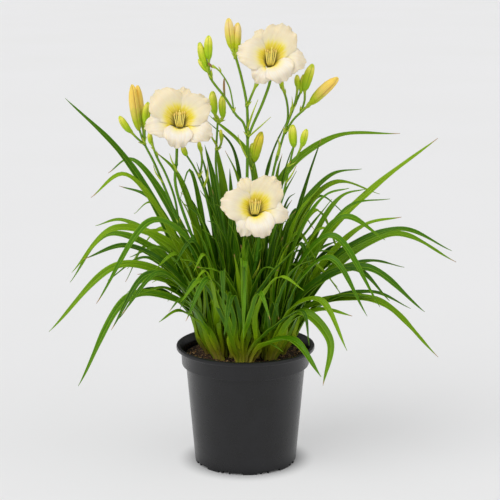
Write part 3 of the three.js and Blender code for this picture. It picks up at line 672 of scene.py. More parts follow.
@dataclass(frozen=True)
class CreamTepal:
    """A petal or sepal: cream and thin, with a painted glow, and yellow to olive down in the throat, the
    olive partly painted shade.
    """

    # olive and moss: the throat's own green, darkened with painted shade where it runs deepest
    olive: str = "#3A4006"
    moss: str = "#5E5802"
    lime: str = "#9E9200"
    gold: str = "#DCC60A"
    yellow: str = "#E8D42A"
    glow: str = "#F0E086"
    pale: str = "#F2E6B8"
    cream: str = "#EFE7DA"
    rim: str = "#EEE0CA"
    # the colour of the painted shade on the upper tepals
    upper_shade: str = "#E7D8B4"
    streaked: str = "#E8CFA2"
    back: tuple[str, ...] = ("#8FA83A", "#B9BE52", "#E2D68C")  # from the stem up
    back_rib: str = "#C4C66A"
    light: tuple[str, ...] = ("#000000", "#585858", "#161616")  # strength of the painted glow at the foot, throat and blade
    streaks: tuple[float, ...] = (30.0, 2.2, 1.0)  # across and along: about 1.3 mm by 27 mm

    def material(self) -> Material:
        """Builds the material.

        Returns:
            The material.
        """
        material, node = new_material("cream_tepal")
        grain = node("UVMap", uv_map="UVMap")
        across = node("SeparateXYZ", {0: grain})
        along = across.node.outputs["Y"]
        marks = ("tint", "glow", "back")
        tint, glow, back = (node("Attribute", out="Fac", attribute_name=mark) for mark in marks)
        drawn = node("Mapping", {"Vector": grain, "Scale": self.streaks})
        moved = node("VectorMath", {0: drawn, 1: tint}, operation="ADD")
        streak = node("TexNoise", {"Vector": moved, "Scale": 1.0, "Detail": 3.0})
        aside = node("Math", {0: across, 1: 0.5}, operation="SUBTRACT")
        aside = node("Math", {0: aside}, operation="ABSOLUTE")
        # The yellow runs out furthest along the middle of the upper tepals, and in streaks; its further reach
        # on the upper tepals is painted shade.
        place = node("Math", {0: aside, 1: 0.12, 2: along}, operation="MULTIPLY_ADD")
        place = node("Math", {0: streak, 1: -0.14, 2: place}, operation="MULTIPLY_ADD")
        place = node("Math", {0: glow, 1: -0.09, 2: place}, operation="MULTIPLY_ADD")
        # olive and moss, deepest in the throat, are partly the throat's own green and partly painted shade.
        stops = {0.0: self.olive, 0.14: self.moss, 0.22: self.lime, 0.3: self.gold, 0.37: self.yellow}
        stops |= {0.43: self.glow, 0.5: self.pale, 0.62: self.cream, 0.95: self.rim}
        colour = node("ValToRGB", {0: place}, stops=stops)
        # The upper tepals, which hang over the throat, are painted yellower than the lower ones: painted
        # shade.
        open_part = node("MapRange", {0: place, 1: 0.42, 2: 0.6, 3: 0.0, 4: 0.9})
        upper_shade = node("Math", {0: open_part, 1: glow}, operation="MULTIPLY")
        colour = node("Mix", {0: upper_shade, 6: colour, 7: self.upper_shade}, **COLOUR)
        between = node("MapRange", {0: streak, 1: 0.35, 2: 0.65, 3: 0.3, 4: 0.0})
        colour = node("Mix", {0: between, 6: colour, 7: self.streaked}, **COLOUR)
        # The back is green by the stem and pales to cream, with a greener line along its middle.
        stops = dict(zip((0.0, 0.16, 0.34, 0.6), (*self.back, self.cream)))
        behind = node("ValToRGB", {0: along}, stops=stops)
        rib = node("MapRange", {0: aside, 1: 0.02, 2: 0.1, 3: 0.45, 4: 0.0})
        behind = node("Mix", {0: rib, 6: behind, 7: self.back_rib}, **COLOUR)
        colour = node("Mix", {0: back, 6: colour, 7: behind}, **COLOUR)
        return dress(
            material,
            Base_Color=colour,
            Emission_Color=colour,
            # Painted glow: emission stands in for the daylight that shines through the thin wall of the
            # throat.
            Emission_Strength=node("ValToRGB", {0: along}, stops=dict(zip((0.16, 0.34, 0.6), self.light))),
            Normal=node("Bump", {"Height": streak, "Strength": 0.6, "Distance": 0.5 * MM}),
            Roughness=0.5,
            Specular_IOR_Level=0.3,
            Subsurface_Weight=0.4,
            Subsurface_Radius=(1.0, 0.82, 0.45),
            Subsurface_Scale=1.6 * MM,
        )


@dataclass(frozen=True)
class Filament:
    """A stamen's thread and the style: pale yellow and translucent, with mealy anthers."""

    thread: str = "#F5E680"
    meal: str = "#EED672"
    dusk: str = "#C79E44"  # painted shade between the grains of the meal
    grains: float = 2.5 / MM

    def material(self) -> Material:
        """Builds the material.

        Returns:
            The material.
        """
        material, node = new_material("filament")
        mealy = node("Attribute", out="Fac", attribute_name="mealy")
        place = node("TexCoord", out="Object")
        dust = node("TexNoise", {"Vector": place, "Scale": self.grains, "Detail": 2.0})
        meal = node("ValToRGB", {0: dust}, stops={0.35: self.dusk, 0.6: self.meal})
        return dress(
            material,
            Base_Color=node("Mix", {0: mealy, 6: self.thread, 7: meal}, **COLOUR),
            Roughness=0.5,
            # A faint painted glow: emission stands in for light through the thin translucent threads.
            Emission_Color=linear(self.thread),
            Emission_Strength=0.07,
            Subsurface_Weight=0.3,
            Subsurface_Radius=(1.0, 0.9, 0.4),
            Subsurface_Scale=1 * MM,
        )


@dataclass(frozen=True)
class PaperSweep:
    """The pale matte paper that it stands on."""

    shade: str = "#AFAFB0"
    darker: str = "#ADADAD"
    light: str = "#FFFFFF"
    lit: float = 0.42  # it is lit from below as well, which thins the shadows
    painted_shadow_span: tuple[float, float] = (58 * MM, 98 * MM)  # where that light starts and is full; held off under and round the pot's foot, it paints a contact shadow there
    clouds: float = 0.0015 / MM

    def material(self) -> Material:
        """Builds the material.

        Returns:
            The material.
        """
        material, node = new_material("paper_sweep")
        place = node("TexCoord", out="Object")
        cloud = node("TexNoise", {"Vector": place, "Scale": self.clouds})
        away = node("VectorMath", {0: place}, out="Value", operation="LENGTH")
        near, far = self.painted_shadow_span
        span = {0: away, 1: near, 2: far, 3: 0.0, 4: self.lit}
        return dress(
            material,
            Base_Color=node("ValToRGB", {0: cloud}, stops={0.3: self.shade, 0.7: self.darker}),
            Roughness=0.9,
            Specular_IOR_Level=0.1,
            Emission_Color=linear(self.light),
            # Emission is zero under the pot's foot and rises away from it: a painted contact shadow.
            Emission_Strength=node("MapRange", span, interpolation_type="SMOOTHSTEP"),
        )


# -------- plans, in mm
@dataclass(frozen=True)
class Fan:
    """A fan of leaves: its foot, its leaves, and those that a rule adds.

    A leaf is (width, turn, depth of tip, shoulder, crest, tip), the last three each (x, z).
    """

    foot: tuple[float, float]
    leaves: tuple
    arching: int
    upright: int
    toward: float
    spread: float


@dataclass(frozen=True)
class StemPlan:
    """A flower stem: its line and radii, then its branches, bracts, small buds and bloom.

    A branch is its points; a bract is three points and its width; a bud is its base, tip and width;
    the bloom is its name and the first points of its pedicel.
    """

    line: tuple
    radius: tuple[float, float]
    branches: tuple = ()
    bracts: tuple = ()
    buds: tuple = ()
    bloom: tuple = ()


@dataclass(frozen=True)
class BloomPlan:
    """A bloom: the middle of its open face, its facing, and its tepals.

    A tepal is (direction in degrees, reach, width); 0 is to the right and 90 is up.
    """

    middle: tuple[float, float, float]
    faces: tuple[float, float, float]
    petals: tuple
    sepals: tuple
    full: float = 1.0


FANS = {
    "fan_left": Fan(
        foot=(-48, 2),
        leaves=(
            (11, 40, 40, (-108, 325), (-168, 425), (-244, 499)),
            (11, 42, -50, (-88, 300), (-160, 409), (-203, 379)),
            (11, 45, -22, (-91, 297), (-175, 331), (-234, 271)),
            (10, 40, 24, (-106, 280), (-186, 316), (-242, 246)),
            (11, 40, -60, (-85, 250), (-168, 284), (-262, 199)),
            (8, 40, -38, (-86, 246), (-130, 264), (-159, 247)),
        ),
        arching=1, upright=2, toward=180, spread=14,
    ),
    "fan_left_front": Fan(
        foot=(-32, -30),
        leaves=(
            (11, 35, -100, (-66, 310), (-120, 353), (-194, 248)),
            (11, 40, -90, (-88, 272), (-155, 320), (-211, 305)),
            (11, 35, -120, (-70, 227), (-150, 252), (-218, 142)),
            (10, 35, -150, (-78, 262), (-126, 289), (-171, 226)),
            (8, 30, -160, (-70, 245), (-111, 294), (-156, 250)),
            (8, 20, -100, (-52, 200), (-88, 234), (-113, 223)),
            (7, 20, -130, (-55, 212), (-82, 258), (-98, 245)),
            (8, 30, -100, (-66, 228), (-107, 266), (-136, 262)),
        ),
        arching=0, upright=2, toward=225, spread=14,
    ),
    "fan_front": Fan(
        foot=(-2, -46),
        leaves=(
            (10, 15, -150, (-30, 222), (-62, 286), (-83, 254)),
            (11, 10, -120, (-10, 235), (-32, 290), (-62, 302)),
            (11, 10, -150, (-22, 212), (-55, 286), (-83, 262)),
            (11, 10, -110, (5, 225), (30, 278), (70, 329)),
            (10, 5, -70, (3, 225), (2, 285), (-6, 320)),
            (7, 10, -62, (-7, 172), (-16, 190), (-27, 203)),
            (12, 20, -160, (24, 186), (62, 202), (97, 167)),
            (7, 20, -150, (40, 216), (74, 243), (82, 206)),
            (6, 10, -90, (14, 180), (32, 187), (50, 180)),
        ),
        arching=1, upright=3, toward=270, spread=14,
    ),
    "fan_right_front": Fan(
        foot=(30, -32),
        leaves=(
            (13, 45, -90, (62, 310), (104, 388), (134, 399)),
            (12, 45, -100, (81, 255), (158, 291), (234, 237)),
            (11, 40, -110, (70, 290), (114, 334), (175, 246)),
            (10, 40, -90, (90, 258), (145, 288), (189, 249)),
            (10, 35, -130, (66, 262), (110, 308), (157, 239)),
            (12, 30, -150, (74, 232), (110, 202), (100, 152)),
            (10, 30, -140, (64, 238), (98, 252), (131, 196)),
            (10, 30, -110, (60, 214), (101, 237), (139, 234)),
            (11, 35, -70, (34, 272), (66, 315), (113, 381)),
        ),
        arching=0, upright=2, toward=315, spread=14,
    ),
    "fan_right": Fan(
        foot=(48, 2),
        leaves=(
            (11, 42, 30, (99, 299), (170, 376), (261, 446)),
            (10, 42, 20, (84, 290), (130, 368), (165, 378)),
            (7, 40, 0, (92, 284), (140, 358), (195, 368)),
            (11, 42, -20, (100, 272), (160, 335), (209, 347)),
            (13, 48, -50, (88, 290), (132, 351), (185, 322)),
            (11, 42, -30, (104, 274), (206, 331), (276, 303)),
            (11, 40, 20, (108, 258), (203, 317), (289, 276)),
            (11, 40, -60, (81, 217), (176, 235), (258, 164)),
            (7, 40, -30, (98, 222), (172, 244), (223, 223)),
            (10, 40, -10, (54, 280), (72, 350), (100, 386)),
        ),
        arching=0, upright=2, toward=0, spread=14,
    ),
    "fan_right_back": Fan(
        foot=(34, 34),
        leaves=(
            (11, 40, 100, (46, 375), (120, 439), (216, 442)),
            (10, 40, 110, (68, 322), (120, 384), (164, 390)),
            (10, 40, 120, (70, 318), (125, 373), (191, 352)),
            (8, 40, 120, (90, 232), (172, 260), (228, 245)),
            (7, 40, 50, (60, 290), (84, 382), (104, 443)),
        ),
        arching=3, upright=3, toward=45, spread=20,
    ),
    "fan_back": Fan(
        foot=(0, 46),
        leaves=(
            (14, 15, 75, (14, 340), (2, 420), (-50, 471)),
            (7, 15, 90, (-6, 320), (-18, 425), (-52, 460)),
            (10, 15, 65, (18, 320), (36, 416), (56, 463)),
            (8, 15, 60, (2, 310), (-12, 390), (-28, 424)),
        ),
        arching=4, upright=2, toward=90, spread=24,
    ),
    "fan_left_back": Fan(
        foot=(-34, 34),
        leaves=(
            (11, 40, 110, (-84, 300), (-160, 406), (-194, 384)),
            (10, 40, 120, (-86, 270), (-135, 350), (-180, 364)),
            (7, 35, 130, (-78, 255), (-134, 341), (-160, 321)),
            (10, 40, 100, (-95, 270), (-172, 321), (-213, 310)),
            (9, 35, 130, (-84, 240), (-138, 282), (-174, 221)),
            (15, 25, 55, (-30, 270), (-42, 375), (-56, 433)),
            (16, 15, 66, (-27, 280), (-30, 370), (-42, 438)),
            (12, 35, 70, (-62, 290), (-95, 392), (-124, 421)),
            (8, 35, 60, (-56, 300), (-77, 398), (-91, 355)),
        ),
        arching=3, upright=1, toward=135, spread=18,
    ),
}

SCAPES = {
    "scape_main": StemPlan(
        line=((2, 2, 156), (2, 1, 230), (2, 0, 366), (3, 0, 455), (2, 0, 495), (-6, 0, 535), (-13, 0, 560)),
        radius=(2.7, 1.7),
        bloom=("top", (3, 0, 450), (9, -1, 466), (24, 1, 500), (33, 5, 528)),
        branches=(
            ((2, 0, 492), (9, -4, 510), (15, -6, 524)),
            ((3, 0, 452), (-3, -3, 472), (-12, -5, 482), (-27, -7, 506), (-45, -7, 530), (-52, -6, 548)),
            ((-15, -5, 485), (-17, -7, 500), (-22, -9, 522), (-35, -9, 542), (-43, -9, 548)),
            ((-45, -7, 530), (-48, -7, 545), (-48, -7, 560)),
            ((-13, 0, 556), (-15, 0, 564), (-17, 0, 569)),
            ((-13, 0, 556), (-12, 0, 562), (-11, 0, 568)),
        ),
        bracts=(
            ((3, 0, 460), (11, -4, 486), (17, -5, 503), 6),
            ((3, 0, 450), (20, -4, 466), (34, -6, 480), 6),
            ((3, 0, 420), (-6, -4, 440), (-10, -6, 456), 5),
        ),
        buds=(
            ((-48, -7, 557), (-48, -7, 587), 9),
            ((-52, -6, 545), (-60, -6, 578), 8),
            ((-50, -6, 540), (-62, -7, 556), 5),
            ((15, -6, 521), (18, -7, 534), 4.5),
            ((-27, -8, 506), (-28, -10, 531), 3),
            ((-43, -9, 546), (-49, -10, 552), 3.5),
        ),
    ),
    "scape_right": StemPlan(
        line=(
            (25, 10, 156), (26, 12, 230), (31, 12, 337), (37, 11, 399),
            (49, 10, 445), (58, 10, 473), (74, 10, 512),
        ),
        radius=(2.5, 1.4),
        branches=(
            ((53, 10, 455), (64, 7, 474), (78, 5, 488), (86, 4, 496)),
            ((74, 6, 484), (79, 8, 500), (79, 9, 516)),
            ((52, 10, 455), (57, 13, 478), (55, 14, 500), (49, 14, 518)),
            ((62, 10, 484), (67, 8, 500), (70, 8, 520)),
        ),
        bracts=(
            ((42, 11, 418), (46, 6, 438), (43, 4, 452), 6),
            ((60, 9, 478), (63, 5, 494), (62, 4, 506), 4),
        ),
        buds=(
            ((79, 9, 514), (89, 9, 548), 10),
            ((70, 8, 518), (69, 8, 534), 6),
            ((74, 10, 510), (77, 11, 534), 5),
            ((49, 14, 516), (48, 14, 529), 5),
        ),
    ),
    "scape_left": StemPlan(
        line=(
            (-22, 6, 164), (-25, 7, 185), (-41, 10, 228), (-84, 12, 318),
            (-111, 11, 386), (-124, 10, 418), (-136, 10, 442), (-142, 10, 460),
        ),
        radius=(2.5, 1.5),
        branches=(
            ((-90, 12, 330), (-96, 4, 370), (-108, 1, 404), (-118, 0, 424), (-126, 0, 446)),
            ((-136, 10, 442), (-135, 7, 456), (-133, 5, 472)),
            ((-135, 10, 440), (-146, 8, 450), (-155, 7, 460)),
            ((-136, 10, 443), (-137, 14, 455), (-137.5, 17.3, 465)),
        ),
        bracts=(((-111, 11, 386), (-121, 6, 402), (-124, 4, 414), 5),),
        buds=(
            ((-133, 5, 469), (-130, 4, 498), 8.5),
            ((-154, 7, 458), (-168, 6, 479), 7.5),
            ((-126, 0, 443), (-128, -1, 458), 5.5),
        ),
    ),
    "scape_bloom_left": StemPlan(
        line=(
            (-14, -6, 164), (-17, -7, 185), (-37, -10, 236), (-76, -10, 330),
            (-94, -8, 392), (-92, -3, 420),
        ),
        radius=(2.4, 1.9),
        bloom=("left", (-92.5, -4, 414), (-92, -2, 424), (-91, 3, 446)),
        bracts=(((-92, -7, 405), (-98, -12, 420), (-101, -14, 432), 5),),
    ),
    "scape_bud_left": StemPlan(
        line=((-10, 14, 156), (-24, 14, 240), (-48, 6, 347), (-56, 2, 381), (-69, -2, 412), (-80, -4, 430)),
        radius=(2.2, 1.3),
        branches=(((-62, 0, 396), (-58, -3, 420), (-60, -4, 438)),),
        bracts=(((-56, 2, 381), (-50, -4, 400), (-51, -6, 416), 5),),
        buds=(
            ((-79, -4, 428), (-84, -5, 441), 6),
            ((-60, -4, 435), (-62, -4, 447), 4.5),
        ),
    ),
    "scape_pair": StemPlan(
        line=((-6, 24, 156), (-14, 24, 240), (-34, 22, 360), (-40, 20, 411), (-39, 20, 440), (-37, 20, 474)),
        radius=(2.3, 1.4),
        branches=(
            ((-37, 20, 470), (-40, 18, 476), (-41, 17, 483)),
            ((-37, 20, 468), (-32, 20, 472), (-30, 20, 478)),
            ((-39, 20, 430), (-33, 15, 440), (-32, 13, 450)),
        ),
        bracts=(((-39, 20, 436), (-46, 14, 450), (-48, 12, 462), 5),),
        buds=(
            ((-41, 17, 481), (-44, 16, 511), 9),
            ((-30, 20, 476), (-31, 20, 505), 8),
            ((-32, 13, 448), (-33, 12, 460), 4),
        ),
    ),
    "scape_right_low": StemPlan(
        line=((12, -8, 156), (20, -10, 240), (42, -12, 340), (54, -8, 389), (59, -6, 415), (65, -5, 442)),
        radius=(2.3, 1.3),
        branches=(((58, -6, 412), (68, -9, 426), (76, -10, 444)),),
        bracts=(((54, -8, 389), (62, -14, 402), (68, -16, 416), 5),),
        buds=(
            ((65, -5, 440), (63, -5, 469), 9),
            ((76, -10, 442), (81, -10, 464), 7.5),
        ),
    ),
    "scape_mid": StemPlan(
        line=((10, 18, 156), (11, 18, 260), (10, 14, 360), (10, 8, 400), (12, 5, 418)),
        radius=(2.2, 1.4),
        branches=(((10, 9, 404), (7, 5, 418), (8, 5, 430)),),
        buds=(((8, 5, 428), (10, 5, 443), 5.5),),
    ),
    "scape_bloom_centre": StemPlan(
        line=((-6, -18, 160), (-1, -28, 200), (6, -46, 250), (15, -57, 300)),
        radius=(2.4, 1.9),
        bloom=("centre", (14, -56, 294), (16, -58, 310), (18, -61, 340)),
        bracts=(((10, -54, 270), (17, -63, 285), (20, -68, 300), 5),),
    ),
}

BUDS = {
    "bud_top_a": (((-17.1, 0, 569.6), (-22, -1, 609), 10.5), Tone.CREAM),
    "bud_top_b": (((-10.8, 0, 568.6), (-9.5, 1, 603), 9.5), Tone.CREAM),
    "bud_left_a": (((-143, 10, 460.6), (-151, 9, 520), 10.5), Tone.YELLOW),
    "bud_left_b": (((-137.6, 17.4, 465.6), (-144, 19, 518), 10), Tone.YELLOW),
    "bud_right": (((86.6, 3.9, 496.4), (122, 0, 531), 11.5), Tone.YELLOW),
    "bud_mid": (((12.3, 4.6, 418.7), (22, 3, 458), 10.5), Tone.GREEN),
}

BLOOMS = {
    "left": BloomPlan(
        middle=(-86, -45, 482),
        faces=(0.02, -0.93, 0.34),
        petals=((36, 47, 38), (130, 50, 42), (265, 37, 34)),
        sepals=((82, 46, 28), (192, 47, 28), (333, 48, 30)),
    ),
    "top": BloomPlan(
        middle=(34, -30, 562),
        faces=(0.06, -0.93, 0.36),
        petals=((64, 49, 42), (169, 45, 36), (304, 36, 38)),
        sepals=((354, 47, 31), (113, 43, 28), (240, 39, 28)),
    ),
    "centre": BloomPlan(
        middle=(13, -110, 377),
        faces=(0.03, -0.95, 0.3),
        petals=((55, 48, 44), (168, 45, 42), (288, 39, 38)),
        sepals=((113, 44, 28), (243, 40, 30), (347, 45, 28)),
        full=0.87,
    ),
}


# -------- the pot
@dataclass
class NurseryPot:
    """A round moulded nursery pot with a rolled lip, a collar and drain notches."""

    height: float = 166.0
    lip_radius: float = 95.0
    lip_height: float = 6.0
    collar_radius: float = 87.5
    collar_height: float = 22.0
    body_radius: float = 82.0
    foot_radius: float = 70.0
    wall: float = 2.0
    floor: float = 6.4
    recess: float = 4.4  # of the underside, inside the ring that it stands on
    ring: float = 6.0  # breadth of that ring
    sides: int = 128
    crease: float = 38.0  # sharper edges than this are not smoothed, in degrees
    notches: int = 8
    cuts: tuple = ((0, 9, 4.1), (15, 18, 3.3), (-9.1, 4.8, 3.1))  # (aside, wide, high) of each gap
    cut_depth: float = 9.0
    cut_edge: float = 0.9  # radius of their edges

    def profile(self) -> list[tuple[float, float]]:
        """Gives the outline from the recessed underside, up, over the lip and down inside.

        Returns:
            (radius, height) of each ring.
        """
        foot, rim, top = self.foot_radius, self.lip_radius, self.height
        lip = top - self.lip_height
        collar = lip - self.collar_height
        body, wide, w = self.body_radius, self.collar_radius, self.wall
        return [
            (foot - self.ring, self.recess),
            (foot - 4.6, self.recess - 0.6),
            (foot - 4.0, 0.5),
            (foot - 3.5, 0.0),
            (foot - 0.7, 0.0),
            (foot - 0.1, 0.6),
            (foot + 0.1, 2.0),
            (body - 0.3, collar - 2.2),
            (body + 0.2, collar - 1.2),
            (wide - 0.5, collar + 0.6),
            (wide, collar + 1.6),
            (wide + 1.0, lip - 1.0),
            (wide + 1.6, lip - 0.2),
            (rim - 1.0, lip + 0.1),
            (rim - 0.2, lip + 0.9),
            (rim, lip + 2.0),
            (rim, top - 2.4),
            (rim - 0.5, top - 0.9),
            (rim - 1.9, top - 0.1),
            (rim - 3.4, top - 0.2),
            (rim - 4.7, top - 0.9),
            (rim - 5.5, top - 2.2),
            (rim - 6.2, top - 4.0),
            (wide - w + 0.9, lip - 1.6),
            (wide - w + 0.2, lip - 5.0),
            (wide - w - 1.0, collar),
            (body - w, collar - 2.0),
            (foot - w, self.floor),
        ]

    def build(self) -> Object:
        """Models the pot and dresses it.

        Returns:
            The finished pot.
        """
        rings = self.profile()
        pot = drawn_up(rings, self.sides)
        bpy.ops.mesh.inset(thickness=rings[-1][0] * MM / 2)
        face_outward()
        self._cut_notches(pot)
        pick(pot)
        bpy.ops.object.shade_smooth_by_angle(angle=math.radians(self.crease))
        pot.name = "nursery_pot"
        pot.data.materials.clear()
        pot.data.materials.append(MouldedPolypropylene().material())
        return fitted(pot, ("pot",))

    def _cut_notches(self, pot: Object) -> None:
        """Cuts the drain notches out of the ring that the pot stands on.

        Each is a short gap, with a long shallow one to one side and a small one to the other.

        Args:
            pot: the pot, at the origin.
        """
        cutters = []
        reach = (self.foot_radius - 1.5) * MM
        for i in range(self.notches):
            for aside, wide, high in self.cuts:
                turn = (i + 0.5) / self.notches * 2 * math.pi + aside / self.foot_radius
                deselect()
                bpy.ops.mesh.primitive_cube_add(
                    size=1,
                    location=(reach * math.cos(turn), reach * math.sin(turn), 0),
                    rotation=(0, 0, turn),
                    scale=(self.cut_depth * MM, wide * MM, 2 * high * MM),
                )
                cutter = bpy.context.object
                bpy.ops.object.transform_apply(location=True, rotation=True, scale=True)
                edge = cutter.modifiers.new("edge", "BEVEL")
                edge.width, edge.segments = self.cut_edge * MM, 3
                bpy.ops.object.modifier_apply(modifier=edge.name)
                cutters.append(cutter)
        cutter = joined(cutters, "cutter")
        pick(pot)
        cut = pot.modifiers.new("cut", "BOOLEAN")
        cut.operation, cut.object, cut.solver = "DIFFERENCE", cutter, "EXACT"
        bpy.ops.object.modifier_apply(modifier=cut.name)
        bpy.data.objects.remove(cutter)


# -------- the compost
@dataclass
class Compost:
    """The peat that fills the pot: a mounded, crumbled surface with loose crumbs on it."""

    radius: float = 83.6
    waist_radius: float = 79.0  # under the collar of the pot
    waist_height: float = 136.0
    foot_radius: float = 67.0
    foot_height: float = 8.0
    mound: float = 3.0
    lumps: tuple = ((0.09, 2.2), (0.3, 1.2), (0.8, 0.6))  # (how many to the mm, how high) of each size
    patches: float = 0.3 / MM
    rings: int = 26
    hub: float = 1.5  # radius of the face in the middle
    sides: int = 96
    crumbs: int = 6200
    margin: float = 2.5  # between the crumbs and the wall of the pot
    bark: float = 2.2  # size of a bit of bark to that of a crumb
    barks: float = 0.03  # share of the crumbs that are bark
    crumb: tuple[float, float] = (0.3, 0.8)
    stretch: tuple = ((0.7, 1.9), (0.6, 1.0), (0.4, 0.8))  # of a crumb: its length, breadth and height
    rough: float = 0.22  # how uneven a crumb is, as a share of its size

    def build(self) -> Object:
        """Models the compost and dresses it.

        Returns:
            The finished compost.
        """
        finish = PeatCompost().material()
        piece = joined([self._bed(finish), self._crumbs(finish)], "compost")
        return fitted(piece, ("soil",))

    def top(self, x: float, y: float) -> float:
        """Gives the height of the surface at a place, in mm.

        Args:
            x: the place to the right.
            y: the place to the back.

        Returns:
            The height.
        """
        share = min(1.0, math.hypot(x, y) / self.radius)
        lumps = sum(noise.noise(Vector((x, y, 0.0)) * many) * high for many, high in self.lumps)
        return SOIL_EDGE + self.mound * (1 - share**2) + lumps * (1 - share**6)

    def _bed(self, finish: Material) -> Object:
        """Makes the closed body of the compost, with its uneven top.

        Args:
            finish: its material.

        Returns:
            The body.
        """
        foot, waist = (self.foot_radius, self.foot_height), (self.waist_radius, self.waist_height)
        bed = drawn_up([foot, waist, (self.radius, SOIL_EDGE)], self.sides)
        for _ in range(self.rings):
            bpy.ops.mesh.inset(thickness=(self.radius - self.hub) / self.rings * MM)
        face_outward()
        for vertex in bed.data.vertices:
            x, y, z = vertex.co / MM
            if z > SOIL_EDGE - 1:
                vertex.co.z = self.top(x, y) * MM
        tint = bed.data.attributes.new("tint", "FLOAT", "POINT")
        values = [0.16 + 0.3 * noise.noise(v.co * self.patches) for v in bed.data.vertices]
        tint.data.foreach_set("value", values)
        bed.data.polygons.foreach_set("use_smooth", [True] * len(bed.data.polygons))
        bed.data.materials.append(finish)
        return bed

    def _crumbs(self, finish: Material) -> Object:
        """Models one crumb, repeats it and scatters the copies over the surface.

        Args:
            finish: their material.

        Returns:
            The crumbs as one object.
        """
        deselect()
        bpy.ops.mesh.primitive_ico_sphere_add(subdivisions=1, radius=1)
        piece = bpy.context.object
        form = np.array([v.co for v in piece.data.vertices])
        copies = piece.modifiers.new("copies", "ARRAY")
        copies.count, copies.use_relative_offset = self.crumbs, False
        bpy.ops.object.modifier_apply(modifier=copies.name)
        random = np.random.default_rng(SEED)
        points, tints = [], []
        for _ in range(self.crumbs):
            turn = random.uniform(0, 2 * math.pi)
            reach = (self.radius - self.margin) * math.sqrt(random.uniform(0.02, 1))
            x, y = reach * math.cos(turn), reach * math.sin(turn)
            size = random.uniform(*self.crumb) * (self.bark if random.uniform() > 1 - self.barks else 1.0)
            stretch = np.array([random.uniform(*span) for span in self.stretch])
            a = random.uniform(0, math.pi)
            spin = np.array([[math.cos(a), -math.sin(a), 0], [math.sin(a), math.cos(a), 0], [0, 0, 1]])
            bumps = 1 + random.uniform(-self.rough, self.rough, (len(form), 1))
            points.append((form * bumps * stretch * size) @ spin.T + (x, y, self.top(x, y) + 0.25 * size))
            tints.append(np.full(len(form), 1.2 * random.uniform(0, 1) ** 1.3, np.float32))
        piece.data.vertices.foreach_set("co", (np.concatenate(points) * MM).ravel())
        tint = piece.data.attributes.new("tint", "FLOAT", "POINT")
        tint.data.foreach_set("value", np.concatenate(tints))
        piece.data.update()
        piece.data.materials.append(finish)
        return piece


# -------- leaves
@dataclass(frozen=True)
class FillKind:
    """How a kind of leaf that fills a fan out grows: ranges in mm, and where it bends."""

    reach: tuple[float, float]
    crest: tuple[float, float]
    droop: tuple[float, float]
    bend: float
    width: tuple[float, float]
    count: int = 0
    spread: float = 0.0  # how far to each side of the fan's heading they point, in degrees
    inward: float = 1.0  # what their foot's distance from the middle of the pot is multiplied by
    turn: tuple[float, float] = (10, 35)
    shoulder: tuple[float, float] = (0.22, 0.6)  # share of its reach, and of its rise to its crest


ARCHING = FillKind((110, 210), (250, 350), (25, 110), 0.6, (10, 12))
UPRIGHT = FillKind((35, 85), (270, 360), (-25, -5), 0.72, (9, 11))
INNER = FillKind((45, 150), (235, 335), (-15, 60), 0.62, (10, 13), count=7, spread=55.0)
TALL = FillKind((25, 75), (330, 400), (-45, -15), 0.6, (10, 13), count=2, spread=40.0)
SHORT = FillKind((25, 75), (205, 270), (-25, 10), 0.6, (9, 12), count=4, spread=150.0, inward=0.78)
HEART = FillKind((15, 65), (270, 375), (-45, -5), 0.6, (12, 15), count=5, spread=160.0, inward=0.5)


@dataclass(frozen=True)
class BladeShape:
    """How a blade is formed: lengths in mm, angles in degrees, places as shares of its length."""

    thick: float = 0.62
    fuller: float = 1.14  # flat width of a folded blade to the width that it shows
    opens: float = 70.0  # run in which it turns its face
    twist: tuple[float, float] = (-14, 34)
    twisted: float = 0.3  # where it starts to twist
    narrow: float = 0.3  # how much narrower it is at its foot
    widens: float = 48.0  # run in which it gets its breadth
    tapers: float = 0.38  # where it starts to taper
    fold: tuple[float, float] = (20, 32)
    closed: float = 46.0  # how much further it is folded at its foot
    unfolds: float = 72.0  # run in which that fold opens
    gutter: float = 0.12
    wave: float = 0.5
    waves: tuple[float, float] = (8, 15)
    dry_tips: float = 0.35  # share of the leaves with a dry tip
    dry_tip: float = 0.965  # where it starts
    dry_foot: float = 26.0  # run over which the foot of an old leaf is brown
    oldest: float = 0.75  # rank from which leaves are old, from 0 inside to 1 outside


